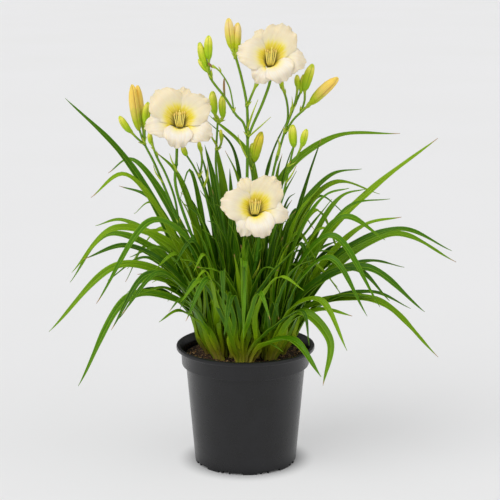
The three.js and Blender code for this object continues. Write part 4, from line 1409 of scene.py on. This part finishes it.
@dataclass
class LeafFan:
    """A fan of strap leaves that rise from one flat sheath and arch over."""

    name: str
    plan: Fan
    seed: int
    blade: Blank
    core: Blank
    finish: Material
    shape: BladeShape = BladeShape()
    shown: float = 1.18  # more for the leaves of the plan, whose width is the one seen from the front
    back: float = 20.0  # fans that stand further back than this have tall leaves too
    above: float = 72.0  # height of the sheath
    breadth: float = 6.6  # half of the breadth of its core
    thin: float = 0.62
    lean: float = 14.0
    buried: float = 6.0
    lowest: float = 4.0  # where the outermost leaf leaves the sheath
    highest: float = 42.0  # where the innermost one does
    neck: float = 18.0
    aside: float = 7.0  # how far towards its own side of the sheath a leaf starts
    stagger: float = 4.0
    foot_out: tuple[float, float] = (1, 4)  # how far out the innermost and the outermost leaf stand
    root_out: float = 5.0
    neck_out: tuple[float, float] = (5, 12)
    core_foot: float = -12.0
    core_top: float = 0.4  # to the height of the sheath

    def build(self) -> Object:
        """Models the fan.

        Returns:
            The finished fan.
        """
        plan, random, inner = self.plan, draws(self.seed), draws(self.seed + 5)
        rows = [
            *((leaf[0] * self.shown, *leaf[1:], 1.0) for leaf in plan.leaves),
            *self._fill(replace(ARCHING, count=plan.arching, spread=plan.spread), random),
            *self._fill(replace(UPRIGHT, count=plan.upright, spread=plan.spread), random),
            *self._fill(INNER, inner),
            *(self._fill(TALL, inner) if plan.foot[1] > self.back else ()),
            *self._fill(SHORT, inner),
            *self._fill(HEART, inner),
        ]
        rows.sort(key=self._steepness, reverse=True)
        parts = [self._sheath()]
        for i, row in enumerate(rows):
            parts.append(self._leaf(row, i, len(rows), draws(self.seed + 31 * i + 7)))
        piece = joined(parts, self.name.replace("fan", "leaves"))
        return fitted(piece, (self.name,))

    def _fill(self, kind: FillKind, random: Draw) -> list[tuple]:
        """Gives the rows of leaves that a rule adds.

        Args:
            kind: how many there are and how they grow.
            random: the source of random numbers.

        Returns:
            The rows, as in the fan's plan and with inward at their end.
        """
        foot_x, foot_y = (c * kind.inward for c in self.plan.foot)
        out, up = kind.shoulder
        rows = []
        for i in range(kind.count):
            share = (2 * i + 1) / kind.count - 1
            turn = math.radians(self.plan.toward + kind.spread * share)
            reach = mix(*kind.reach, random())
            crest = mix(*kind.crest, random())
            width = mix(*kind.width, random())
            roll = mix(*kind.turn, random())
            low = (foot_x + reach * out * math.cos(turn), mix(SOIL_EDGE, crest, up))
            top = (foot_x + reach * kind.bend * math.cos(turn), crest)
            tip = (foot_x + reach * math.cos(turn), crest - mix(*kind.droop, random()))
            rows.append((width, roll, foot_y + reach * math.sin(turn), low, top, tip, kind.inward))
        return rows

    def _steepness(self, row: tuple) -> float:
        """Tells how steeply a leaf rises to its shoulder."""
        return (row[3][1] - SOIL_EDGE) / abs(row[3][0] - self.plan.foot[0])

    def _middle(self, rise: float) -> Array:
        """Gives the middle of the sheath at a height over the compost.

        Args:
            rise: the height.

        Returns:
            The point.
        """
        x, y = self.plan.foot
        lean = self.lean * max(0, rise) / (self.above * math.hypot(x, y))
        return np.array([x * (1 + lean), y * (1 + lean), SOIL_EDGE + rise])

    def _line(self, row: tuple, rank: int, outer: float) -> SmoothLine:
        """Gives the line of a leaf, from just under the compost to its tip.

        Args:
            row: the leaf's row.
            rank: its place in the fan.
            outer: from 0 for the innermost leaf to 1 for the outermost.

        Returns:
            The line.
        """
        x, y = self.plan.foot
        _, _, depth, shoulder, crest, tip, inward = row
        rise = mix(self.highest, self.lowest, outer)
        closer = np.array([inward, inward, 1.0])
        steps = [(x, SOIL_EDGE), shoulder, crest, tip]
        runs = np.cumsum([0] + [math.dist(a, b) for a, b in zip(steps, steps[1:])])
        plan = unit(np.array([tip[0] - x, depth - y, 0.0]))
        broad = unit(np.array([-y, x, 0.0]))
        aside = self.aside * float(plan @ broad) + self.stagger * (rank % 3 - 1)
        # Outer leaves stand further out at every height than those that they wrap.
        root = self._middle(rise) * closer + broad * aside + plan * self.root_out * outer
        foot = self._middle(-self.buried) * closer + broad * 0.5 * aside + plan * mix(*self.foot_out, outer)
        neck = self._middle(rise + self.neck) * closer + plan * mix(*self.neck_out, outer)
        neck = neck + broad * 1.5 * aside
        through = [
            np.array([px, mix(y * inward, depth, (runs[i + 1] / runs[3]) ** 1.25), pz])
            for i, (px, pz) in enumerate(steps[1:])
        ]
        return SmoothLine([foot, root, neck, *through])

    def _leaf(self, row: tuple, rank: int, count: int, random: Draw) -> Object:
        """Bends a blade along its line.

        Args:
            row: the leaf's row.
            rank: its place in the fan, the steepest first.
            count: how many leaves the fan has.
            random: its own source of random numbers.

        Returns:
            The leaf.
        """
        shape, blade = self.shape, self.blade
        outer = rank / (count - 1)
        line = self._line(row, rank, outer)
        shares = blade.shares() ** 0.92
        run = shares * line.length
        middle, along = line.at(shares), line.along(shares)
        level, flat, up = level_frame(middle, along)
        side = -1 if level[1] > 0 else 1
        # It stands folded edge to edge at the foot, and turns its face as it opens.
        opened = 1 - np.exp(-((run / shape.opens) ** 2))
        twist = math.radians(mix(*shape.twist, random())) * np.maximum(0, shares - shape.twisted) ** 1.5 / 0.5
        angle = (math.radians(row[1]) * side * opened + twist)[:, None]
        wide = flat * np.cos(angle) - up * np.sin(angle)
        face = np.cross(wide, along)
        root = 1 - shape.narrow * np.exp(-((run / shape.widens) ** 2))
        taper = 1 - np.maximum(0, (shares - shape.tapers) / (1 - shape.tapers)) ** 1.8
        half = row[0] * shape.fuller / 2 * root * np.maximum(0.02, taper**0.85)
        closed = shape.closed * np.exp(-((run / shape.unfolds) ** 2))
        fold = np.radians(mix(*shape.fold, random()) + closed)
        wave = shape.wave * np.sin(shares * mix(*shape.waves, random()) * math.pi + 6 * random())
        tip = 1.0 if random() < shape.dry_tips else 0.0
        old = 0.8 * random() if outer > shape.oldest else 0.15 * random()

        def form(across: Array, way: Array, out: Array) -> Array:
            """Folds the blade to a keel, with a gutter and wavy edges."""
            i = blade.row(way)
            place = np.sign(across) * np.abs(across) ** 1.3
            gutter = np.abs(place) - shape.gutter * place**4
            lift = (gutter - 0.5) * half[i] * np.sin(fold[i]) + wave[i] * place * np.minimum(1, half[i] / 4)
            lift = lift + out * shape.thick / 2
            spread = place * half[i] * np.cos(fold[i])
            return middle[i] + wide[i] * spread[:, None] + face[i] * lift[:, None]

        def rise(across: Array, way: Array, out: Array) -> Array:
            """Gives how far up the blade a place is, in metres."""
            return run[blade.row(way)] * MM

        def dry(across: Array, way: Array, out: Array) -> Array:
            """Dries the tip of some leaves and the foot of the old ones."""
            i = blade.row(way)
            end = tip * np.clip((shares[i] - shape.dry_tip) / 0.02, 0, 1)
            return np.maximum(end, old * np.exp(-((run[i] / shape.dry_foot) ** 2)))

        # Leaves nearer the middle of the clump are painted darker, on top of their random tone: painted shade
        # for the shadow deep in the clump.
        tint = random() * mix(-0.3, 1, row[6])
        return blade.bent(f"{self.name}_{rank}", form, self.finish, tint=tint, rise=rise, dry=dry)

    def _sheath(self) -> Object:
        """Bends a tube to the heart of the fan, which its folded leaves hide.

        Returns:
            The sheath.
        """
        foot = np.array([*self.plan.foot, 0.0])
        out = unit(foot)
        broad = np.array([-out[1], out[0], 0.0])

        def form(across: Array, way: Array, side: Array) -> Array:
            """Gives a flat, ribbed core that narrows and leans out as it rises."""
            rise = mix(self.core_foot, self.above * self.core_top, way)
            turn = np.arctan2(side, across)
            size = np.hypot(across, side) * (1 - 0.8 * np.maximum(0, way - 0.1) ** 1.3)
            size = size * (1 + 0.07 * np.cos(turn * 8 + 4 * way))
            lean = self.lean * np.maximum(0, rise) / self.above
            middle = foot + out * lean[:, None]
            middle[:, 2] = SOIL_EDGE + rise
            breadth = broad * (self.breadth * size * np.cos(turn))[:, None]
            return middle + breadth + out * (self.breadth * self.thin * size * np.sin(turn))[:, None]

        def rise(across: Array, way: Array, side: Array) -> Array:
            """Gives how far up a blade would be as green as the core is here, in metres."""
            return way * self.above * 0.6 * MM

        return self.core.bent(self.name + "_sheath", form, self.finish, tint=0.4, rise=rise, dry=0.05)


# -------- stems and buds
@dataclass(frozen=True)
class BudShape:
    """The form of a closed bud, shared by the small and the large ones."""

    run: tuple[float, ...] = (0.0, 0.04, 0.1, 0.22, 0.45, 0.7, 0.86, 0.95, 1.0)
    full: tuple[float, ...] = (0.3, 0.46, 0.66, 0.87, 1.0, 0.96, 0.76, 0.5, 0.14)
    sepals: int = 3
    ridge: float = 0.06
    seam: float = 0.12
    seam_width: float = 0.13
    ribs: int = 9
    rib: float = 0.02
    parted: float = 0.03  # how far the ends of its sepals stand apart
    sunk: float = 1.2  # how far its foot reaches into its pedicel, in mm
    nose: float = 0.3  # how far the middle of its end stands out, in mm
    bow: float = 0.035  # share of its length

    def bend(self, tube: Blank, name: str, spec: tuple, finish: Material, seed: int) -> Object:
        """Bends a tube to a bud.

        Args:
            tube: the blank.
            name: the bud's name.
            spec: its base, its tip and its width.
            finish: its material.
            seed: for how it bows.

        Returns:
            The bud.
        """
        base, tip, width = (np.asarray(part, float) for part in spec)
        along = tip - base
        length = np.linalg.norm(along)
        axis = unit(along)
        first = unit(np.cross((0, 1, 0), axis))
        second = np.cross(axis, first)
        random = draws(seed)
        bow, start = mix(-1, 1, random()) * self.bow * length, 6 * random()

        def form(across: Array, way: Array, side: Array) -> Array:
            """Gives a bowed, ridged bud with a seam between each two of its sepals."""
            turn, out = np.arctan2(side, across) + start, np.hypot(across, side)
            seam = np.exp(-((np.abs(np.cos(turn * self.sepals / 2)) / self.seam_width) ** 2))
            ridged = 1 + self.ridge * np.cos(turn * self.sepals) - self.seam * seam
            ridged = ridged + self.rib * np.cos(turn * self.ribs)
            size = np.interp(way, self.run, self.full) * width / 2 * ridged * out
            reach = way * (1 + self.sunk / length) - self.sunk / length
            parted = self.parted * np.cos(turn * self.sepals) * np.clip((way - 0.84) / 0.12, 0, 1)
            reach = reach + parted * out
            middle = base + along * reach[:, None] + first * (bow * np.sin(way * math.pi))[:, None]
            middle = middle + axis * (out < 0.5)[:, None] * self.nose
            ring = first * (size * np.cos(turn - start))[:, None]
            return middle + ring + second * (size * np.sin(turn - start))[:, None]

        return tube.bent(
            name,
            form,
            finish,
            along=lambda across, way, side: way,
            round=lambda across, way, side: np.arctan2(side, across) + start,
        )


@dataclass
class FlowerStem:
    """A leafless flower stem with its branches, bracts and small green buds."""

    name: str
    plan: StemPlan
    seed: int
    tube: Blank
    bud_tube: Blank
    blade: Blank
    skin: Material
    bud_finish: Callable[[Tone], Material]
    bud: BudShape = BudShape()
    below: float = 30.0  # how far it stands in the compost
    pedicel: float = 1.6
    stout: float = 1.3  # a bloom's pedicel to a bud's
    plump: float = 1.28  # width of a bud to the width of its plan
    spent: float = 4.0  # a thinner bud is a dry twig that has flowered
    slender: float = 0.62  # such a twig to a pedicel
    swelling: tuple[float, float] = (0.35, 4.0)  # of a branch at the stem: how much, in how long a run
    flare: tuple[float, float] = (0.8, 4.5)  # of a branch under its bud
    pale: tuple[float, float] = (0.42, 11.0)  # end of a branch
    straight: float = 9.0  # how far a bloom's pedicel runs straight on to it
    seat: float = 0.4
    scales: tuple = ((0.0, -1, 1.0), (0.0, 1, 1.0), (0.82, 1, 0.6), (0.9, -1, 0.6))  # place, side, length
    scale_length: tuple[float, float] = (8, 15)
    scale_width: tuple[float, float] = (5.6, 3.8)  # at the foot of a branch and under its bud

    def build(self) -> Object:
        """Models the stem.

        Returns:
            The finished stem.
        """
        plan = self.plan
        x, y, z = plan.line[0]
        line = [(x, y, z - self.below), *plan.line]
        parts = [self._bar("stem", line, plan.radius, branch=False)]
        twigs = [bud[0] for bud in plan.buds if bud[2] < self.spent]
        for i, branch in enumerate(plan.branches):
            slender = self.slender if any(math.dist(branch[-1], twig) < 4 for twig in twigs) else 1.0
            thick = (plan.radius[1] * slender, self.pedicel * slender)
            parts.append(self._bar(f"branch_{i}", branch, thick, branch=True))
            parts.extend(self._scales(f"scale_{i}", branch, self.seed + 17 * i))
        if plan.bloom:
            thick = (plan.radius[1], self.pedicel * self.stout)
            parts.append(self._bar("pedicel", self._pedicel(), thick, branch=True))
        for i, bract in enumerate(plan.bracts):
            parts.append(self._bract(f"bract_{i}", bract, self.seed + i))
        for i, (base, tip, width) in enumerate(plan.buds):
            spent = width < self.spent
            spec = (base, tip, width * (1.0 if spent else self.plump))
            finish = self.bud_finish(Tone.SPENT if spent else Tone.LEAFY)
            parts.append(self.bud.bend(self.bud_tube, f"{self.name}_bud_{i}", spec, finish, self.seed + i))
        piece = joined(parts, self.name.replace("scape", "stem"))
        return fitted(piece, (self.name,))

    def _pedicel(self) -> list:
        """Finds where a bloom's pedicel runs, up to the foot of its tube.

        Returns:
            The points of the pedicel.
        """
        name, *points = self.plan.bloom
        foot, axis = Bloom.foot_of(BLOOMS[name])
        return [*points, foot - axis * self.straight, foot - axis * self.seat]

    def _bar(self, name: str, points: Sequence, thick: tuple[float, float], branch: bool) -> Object:
        """Bends a tube along points.

        Args:
            name: what it is.
            points: the points that it runs through.
            thick: its radius at its foot and at its end.
            branch: whether it swells where it leaves the stem, and flares and pales under its bud.

        Returns:
            The bar.
        """
        line = SmoothLine(points)

        def girth(way: Array) -> Array:
            """Gives its radius along the way."""
            size = mix(*thick, way)
            if branch:
                for (more, reach), run in zip((self.swelling, self.flare), (way, 1 - way)):
                    size = size * (1 + more * np.exp(-((run * line.length / reach) ** 2)))
            return size

        def dry(across: Array, way: Array, side: Array) -> Array:
            """Pales a branch under its bud."""
            share, reach = self.pale
            return share * np.exp(-(((1 - way) * line.length / reach) ** 2)) * branch

        name = f"{self.name}_{name}"
        return self.tube.laid(name, line, (0, 1, 0), girth, self.skin, beyond=0.9, dry=dry)

    def _scales(self, name: str, branch: tuple, seed: int) -> list[Object]:
        """Bends four small bracts that clasp a branch, two at its foot and two under its bud.

        Args:
            name: what their names start with.
            branch: the points of the branch.
            seed: for how long they are and how they stand off.

        Returns:
            The bracts.
        """
        random, line = draws(seed), SmoothLine(branch)
        parts = []
        for i, (share, side, size) in enumerate(self.scales):
            width = self.scale_width[round(share)]
            start, way = line.at(np.array([share]))[0], line.along(np.array([share]))[0]
            off = unit(np.cross((0, 1, 0), way)) * side * (1 if way[2] > 0 else -1)
            long = mix(*self.scale_length, random()) * size
            toward = np.array([0, -mix(0.4, 1.6, random()), 0])
            middle, tip = start + way * long * 0.5 + off * 1.9, start + way * long + off * 3
            parts.append(self._bract(f"{name}_{i}", (start, middle + toward, tip + toward, width), seed + i))
        return parts

    def _bract(self, name: str, spec: tuple, seed: int) -> Object:
        """Bends a blade to a small bract that clasps the stem.

        Args:
            name: what it is.
            spec: its three points and its width.
            seed: for how it curls and how brown it is.

        Returns:
            The bract.
        """
        *points, width = spec
        random = draws(seed)
        line = SmoothLine(points)
        shares = self.blade.shares()
        middle, along = line.at(shares), line.along(shares)
        _, flat, face = level_frame(middle, along)
        half = width / 2 * np.maximum(0.03, (1 - shares**1.8)) * (0.85 + 0.3 * np.sin(shares * math.pi))
        curl, brown = mix(0.5, 0.9, random()), mix(0.3, 0.8, random())

        def form(across: Array, way: Array, out: Array) -> Array:
            """Curls the bract round the stem."""
            i = self.blade.row(way)
            lift = half[i] * curl * across**2 + out * 0.3
            return middle[i] + flat[i] * (across * half[i] * 0.8)[:, None] + face[i] * lift[:, None]

        def dry(across: Array, way: Array, out: Array) -> Array:
            """Gives it a pale green foot and a papery end."""
            return 0.4 + np.clip((way - 0.5) * 1.6, 0, 1) * brown

        return self.blade.bent(f"{self.name}_{name}", form, self.skin, dry=dry)


@dataclass
class LargeBud:
    """A bud about to open, which stands on the end of its pedicel."""

    name: str
    spec: tuple
    tone: Tone
    seed: int
    tube: Blank
    finish: Material
    shape: BudShape = BudShape()
    plump: float = 1.26  # its width to the width of its plan

    def build(self) -> Object:
        """Models the bud.

        Returns:
            The finished bud.
        """
        base, tip, width = self.spec
        spec = (base, tip, width * self.plump)
        piece = self.shape.bend(self.tube, "large_" + self.name, spec, self.finish, self.seed)
        return fitted(piece, (self.name,))


# -------- blooms
@dataclass(frozen=True)
class TepalKind:
    """How petals and sepals differ: how far behind, full, ruffled and rounded, and their width along."""

    behind: float
    fuller: float
    ruffle: float
    round: float
    share: tuple[float, ...]


PETAL = TepalKind(0.0, 1.2, 3.5, 0.24, (0.11, 0.34, 0.78, 1.06, 1.14, 1.04))
SEPAL = TepalKind(3.4, 1.44, 2.3, 0.3, (0.16, 0.52, 1.08, 1.12, 1.08, 0.98))


@dataclass
class Bloom:
    """An open bloom: three ruffled petals in front of three sepals, grown together in a tube."""

    name: str
    plan: BloomPlan
    seed: int
    sheet: Blank
    tube: Blank
    finish: Material
    depth: float = 44.0
    mouth: float = 11.0
    throat: tuple = ((2.2, 13.0), (5.5, 24.0), (11.0, 35.0))  # (radius, height) up to the mouth
    blade: tuple = ((0.28, 41.5), (0.65, 45.0), (1.0, 42.0))  # (share of the reach, height) beyond it
    thick: float = 0.7
    bow: float = 4.5  # how far the throat sags between its foot and its mouth
    tube_length: float = 17.0
    tube_form: tuple = ((0.0, 1.9), (0.15, 2.5), (0.8, 3.9), (1.0, 3.6))  # (share, radius)
    tube_place: tuple[float, float] = (0.3, 0.04)  # where on a tepal its colour is found
    ruffles: tuple = ((8, 0.65), (13, 0.5))  # (how many round the rim, how high)
    crimps: int = 31
    ribs: int = 7

    @classmethod
    def foot_of(cls, plan: BloomPlan) -> tuple[Array, Array]:
        """Gives the foot of a bloom's tube and its axis."""
        axis = unit(np.array(plan.faces, float))
        return np.array(plan.middle) - axis * cls.depth, axis

    @classmethod
    def frame_of(cls, plan: BloomPlan) -> tuple[Array, ...]:
        """Gives the frame that a bloom is modelled in.

        Args:
            plan: the bloom.

        Returns:
            The foot of its tube, and its directions to the right, up and out.
        """
        foot, axis = cls.foot_of(plan)
        right = unit(np.array([1.0, 0, 0]) - axis * axis[0])
        return foot, right, np.cross(axis, right), axis

    def build(self) -> Object:
        """Models the bloom.

        Returns:
            The finished bloom.
        """
        random = draws(self.seed)
        parts = [self._tube()]
        for i, row in enumerate(self.plan.petals):
            parts.append(self._tepal(f"petal_{i}", row, PETAL, random))
        for i, row in enumerate(self.plan.sepals):
            parts.append(self._tepal(f"sepal_{i}", row, SEPAL, random))
        piece = joined(parts, "flower_" + self.name)
        return fitted(piece, ("bloom_" + self.name,))

    @classmethod
    def sag(cls, height: Number) -> Number:
        """Gives how far the throat hangs down at a height over its foot."""
        return cls.bow * np.sin(math.pi * np.clip(height / cls.throat[-1][1], 0, 1))

    def _tube(self) -> Object:
        """Bends a tube to the green-yellow foot of the bloom.

        Returns:
            The tube.
        """
        foot, right, up, axis = self.frame_of(self.plan)

        def form(across: Array, way: Array, side: Array) -> Array:
            """Gives the tube its radii, and lets it sag with the throat."""
            size = np.interp(way, *zip(*self.tube_form))
            high = way * self.tube_length
            ring = right * (across * size)[:, None] + up * (side * size - self.sag(high))[:, None]
            return foot + axis * high[:, None] + ring

        piece = self.tube.bent(f"{self.name}_tube", form, self.finish, tint=0.5, glow=0.0, back=1.0)
        layer = piece.data.uv_layers[0]
        layer.data.foreach_set("uv", np.tile(self.tube_place, len(layer.data)).ravel())
        return piece

    def _tepal(self, name: str, row: tuple, kind: TepalKind, random: Draw) -> Object:
        """Bends a sheet to a petal or sepal.

        Args:
            name: its name.
            row: its direction, reach and width.
            kind: petal or sepal.
            random: the bloom's source of random numbers.

        Returns:
            The petal or sepal.
        """
        direction, reach, width = row
        foot, right, up, axis = self.frame_of(self.plan)
        turn = math.radians(direction)
        phase = [random() * 2 * math.pi for _ in range(4)]
        run = [*self.throat, *((mix(self.mouth, reach, s), h) for s, h in self.blade)]
        knots = [(r, h, 0.0, kind.share[i], i / (len(run) - 1)) for i, (r, h) in enumerate(run)]
        line = SmoothLine(knots)
        columns = self.sheet.columns
        s, even = np.linspace(-1, 1, columns + 1)[None, :], self.sheet.shares()[:, None]
        # The strip ends in a round: its outer columns are shorter.
        t = even * (1 - kind.round * np.abs(s) ** 2.4)
        radius, height, _, share, opening = np.moveaxis(line.at(t), -1, 0)
        dr, dh, _ = np.moveaxis(line.along(t), -1, 0)
        # Ruffles run round the rim, from one side over the end to the other.
        end = np.clip((even - 0.45) / 0.55, 0, 1)
        rim = (1 - (1 - np.abs(s) ** 3) * (1 - end**4)) * opening
        place = np.arctan2(s, (t - 0.4) * 1.7)
        ruffle = sum(high * np.sin(many * place + at) for (many, high), at in zip(self.ruffles, phase))
        crimp = np.sin(self.crimps * place + phase[2])
        frill = rim**2 * (0.6 * np.sin(12 * place + phase[2]) + 0.3 * crimp)
        half = width * kind.fuller * self.plan.full / 2 * share * (1 - 0.18 * end**3) * (1 + 0.07 * frill)
        rise = radius + dh * kind.behind - 0.04 * reach * s**2 * opening + frill * 1.5 * end
        # It is wrapped round the throat below, and opens flat.
        wrap = turn + s * half / np.maximum(rise, half * 0.95)
        flat_x = rise * math.cos(turn) - s * half * math.sin(turn)
        flat_y = rise * math.sin(turn) + s * half * math.cos(turn)
        x = mix(rise * np.cos(wrap), flat_x, opening)
        y = mix(rise * np.sin(wrap), flat_y, opening) - self.sag(height)
        lift = kind.ruffle * rim**1.5 * (ruffle + 0.14 * crimp)
        # A groove runs down its middle, with fine ribs beside it.
        lift = lift - 1.3 * np.exp(-((s / 0.1) ** 2)) * opening * (1.1 - t)
        ribs = np.cos(s * self.ribs * math.pi + np.sin(5 * t + phase[2]))
        lift = lift + 0.3 * ribs * (1 - np.abs(s)) * opening
        # The ends and sides roll back, and it twists a little.
        lift = lift - 5.0 * np.maximum(0, t - 0.7) ** 2 / 0.09 - 0.7 * kind.ruffle * np.abs(s) ** 3 * opening
        lift = lift + 1.8 * np.sin(phase[3] + 3 * t) * s * opening**2
        z = height - dr * kind.behind + lift
        grid = foot + right * x[..., None] + up * y[..., None] + axis * z[..., None]
        across_way, along_way = np.gradient(grid, axis=1), np.gradient(grid, axis=0)
        normal = unit(np.cross(across_way, along_way))

        def form(across: Array, way: Array, out: Array) -> Array:
            """Lays the sheet's two faces on both sides of the grid."""
            i, j = self.sheet.row(way), np.rint((across + 1) / 2 * columns).astype(int)
            return grid[i, j] + normal[i, j] * (out * self.thick / 2)[:, None]

        # glow marks the upper tepals, which the finish paints yellower as painted shade.
        glow = (math.sin(turn) + 1) / 2
        marks = {"tint": random(), "glow": glow, "back": lambda across, way, out: (out + 1) / 2}
        return self.sheet.bent(f"{self.name}_{name}", form, self.finish, **marks)


@dataclass
class Stamens:
    """Six stamens and a style that lean in the throat and turn up at their ends."""

    name: str
    plan: BloomPlan
    seed: int
    tube: Blank
    finish: Material
    start: float = 16.0  # height over the foot of the bloom
    length: float = 25.0
    longer: float = 8.0  # how much longer the style is
    count: int = 6
    apart: float = 2.7
    sag: float = 2.0
    rise: float = 9.0
    radius: float = 0.62
    stout: float = 1.4  # the foot of a thread to its end
    anther: tuple[float, float] = (1.0, 0.7)

    def build(self) -> Object:
        """Models the stamens and the style.

        Returns:
            The finished bunch.
        """
        random = draws(self.seed)
        thread, at = (self.radius * self.stout, self.radius), self._place
        parts = []
        for k in range(self.count):
            aside = self.apart * (k - (self.count - 1) / 2)
            long = self.length * mix(0.85, 1, random())
            rise = self.rise * mix(0.7, 1.1, random())
            line = [at(0, aside * 0.25, 0), at(long * 0.5, aside * 0.6, -self.sag), at(long, aside, rise)]
            parts.append(self._bar(f"thread_{k}", line, thread, 0.0))
            ends = [at(long - 1, aside, rise - 1.5), at(long + 1, aside, rise + 3)]
            parts.append(self._bar(f"anther_{k}", ends, self.anther, 1.0))
        long = self.length + self.longer
        line = [at(0, 0.2, 0.8), at(long * 0.5, 0.3, self.sag), at(long, 0.3, self.rise + self.sag)]
        parts.append(self._bar("style", line, thread, 0.0))
        piece = joined(parts, "threads_" + self.name)
        return fitted(piece, ("stamens_" + self.name,))

    def _place(self, along: float, aside: float, rise: float) -> Array:
        """Gives a point of the bunch, in mm.

        Args:
            along: how far out of the throat it is.
            aside: how far to the right it is.
            rise: how far it is over the middle of the throat.

        Returns:
            The point.
        """
        foot, right, up, axis = Bloom.frame_of(self.plan)
        rise = rise - Bloom.sag(self.start + along)
        return foot + axis * (self.start + along) + right * aside + up * rise

    def _bar(self, name: str, points: Sequence, thick: tuple[float, float], mealy: float) -> Object:
        """Bends a tube along points.

        Args:
            name: what it is.
            points: the points that it runs through.
            thick: its radius at its foot and at its end.
            mealy: 0 for a thread; 1 for an anther, which swells like a grain.

        Returns:
            The bar.
        """

        def girth(way: Array) -> Array:
            """Gives its radius along the way."""
            return mix(*thick, way) * mix(1, 0.35 + np.sin(way * math.pi), mealy)

        name = f"{self.name}_{name}"
        return self.tube.laid(name, SmoothLine(points), (1, 0, 0), girth, self.finish, mealy=mealy)


# -------- studio
@dataclass
class Studio:
    """A pale sweep of paper under wide soft lights, and the camera."""

    eye: tuple[float, float, float] = (0.0062, -2.119, 0.771)
    tilt: float = 77.4
    lens: float = 115.2
    sensor: float = 36.0
    sweep: float = 30.0  # radius of the paper
    lamps: tuple = (("key", (-1.1, -1.0, 1.5), 50, 1.8), ("fill", (1.3, -0.9, 1.1), 70, 0.7))
    sky: str = "#FBFBFD"
    above: float = 0.46  # strength of the light from above and in front
    behind: float = 0.12  # and from the wall behind

    def build(self) -> None:
        """Sets up the camera, the floor, the lamps and the air."""
        scene = bpy.context.scene
        scene.view_settings.view_transform = "Standard"
        camera = bpy.data.objects.new("camera", bpy.data.cameras.new("camera"))
        camera.location = self.eye
        camera.rotation_euler = (math.radians(self.tilt), 0, 0)
        camera.data.lens, camera.data.sensor_width = self.lens, self.sensor
        camera.data.clip_end = 100.0
        scene.collection.objects.link(camera)
        scene.camera = camera
        deselect()
        bpy.ops.mesh.primitive_circle_add(vertices=64, radius=self.sweep, fill_type="NGON")
        floor = bpy.context.object
        floor.name = "paper_floor"
        floor.data.materials.append(PaperSweep().material())
        for lamp in self.lamps:
            self._sun(*lamp)
        self._air()

    def _air(self) -> None:
        """Lights the scene from all round, less from the wall behind than from above."""
        world = bpy.data.worlds.new("air")
        world.use_nodes = True
        tree = world.node_tree
        # The dark wall behind keeps the lip of the pot black.
        back = add_node(tree, "SeparateXYZ", {0: add_node(tree, "TexCoord", out="Object")}, out="Y")
        power = add_node(tree, "MapRange", {0: back, 1: 0.5, 2: 0.92, 3: self.above, 4: self.behind})
        air = tree.nodes["Background"]
        air.inputs["Color"].default_value = linear(self.sky)
        tree.links.new(power, air.inputs["Strength"])
        bpy.context.scene.world = world

    def _sun(self, name: str, place: tuple[float, float, float], spread: float, power: float) -> None:
        """Hangs a wide, far light.

        Args:
            name: the lamp's name.
            place: where it stands, seen from the plant.
            spread: its angle across in degrees, which softens the shadows.
            power: its strength.
        """
        lamp = bpy.data.objects.new(name, bpy.data.lights.new(name, "SUN"))
        lamp.data.angle, lamp.data.energy = math.radians(spread), power
        lamp.location = place
        lamp.rotation_euler = (-Vector(place)).to_track_quat("-Z", "Y").to_euler()
        bpy.context.scene.collection.objects.link(lamp)


# -------- the plant
def main() -> None:
    """Builds every piece in order."""
    leaf, skin = StrapLeaf().material(), GreenStem().material()
    tepal, thread = CreamTepal().material(), Filament().material()

    @functools.cache
    def bud_finish(tone: Tone) -> Material:
        """Gives the material of a tone, made once."""
        return BudSkin(tone).material()

    NurseryPot().build()
    Compost().build()
    blade, core, bract = Blank(8, 56), Blank(32, 14, tube=True), Blank(6, 12)
    for i, (name, plan) in enumerate(FANS.items()):
        LeafFan(name, plan, SEED + i * 97, blade, core, leaf).build()
    stem_tube, small, large = Blank(12, 36, tube=True), Blank(24, 20, tube=True), Blank(48, 36, tube=True)
    for i, (name, plan) in enumerate(SCAPES.items()):
        FlowerStem(name, plan, SEED + i * 53, stem_tube, small, bract, skin, bud_finish).build()
    for i, (name, (spec, tone)) in enumerate(BUDS.items()):
        LargeBud(name, spec, tone, SEED + i * 29, large, bud_finish(tone)).build()
    sheet, tube, fine = Blank(32, 60), Blank(24, 8, tube=True), Blank(8, 16, tube=True)
    for i, (name, plan) in enumerate(BLOOMS.items()):
        Bloom(name, plan, SEED + 11 * i, sheet, tube, tepal).build()
        Stamens(name, plan, SEED + 13 * i, fine, thread).build()
    Studio().build()


if __name__ == "__main__":
    main()
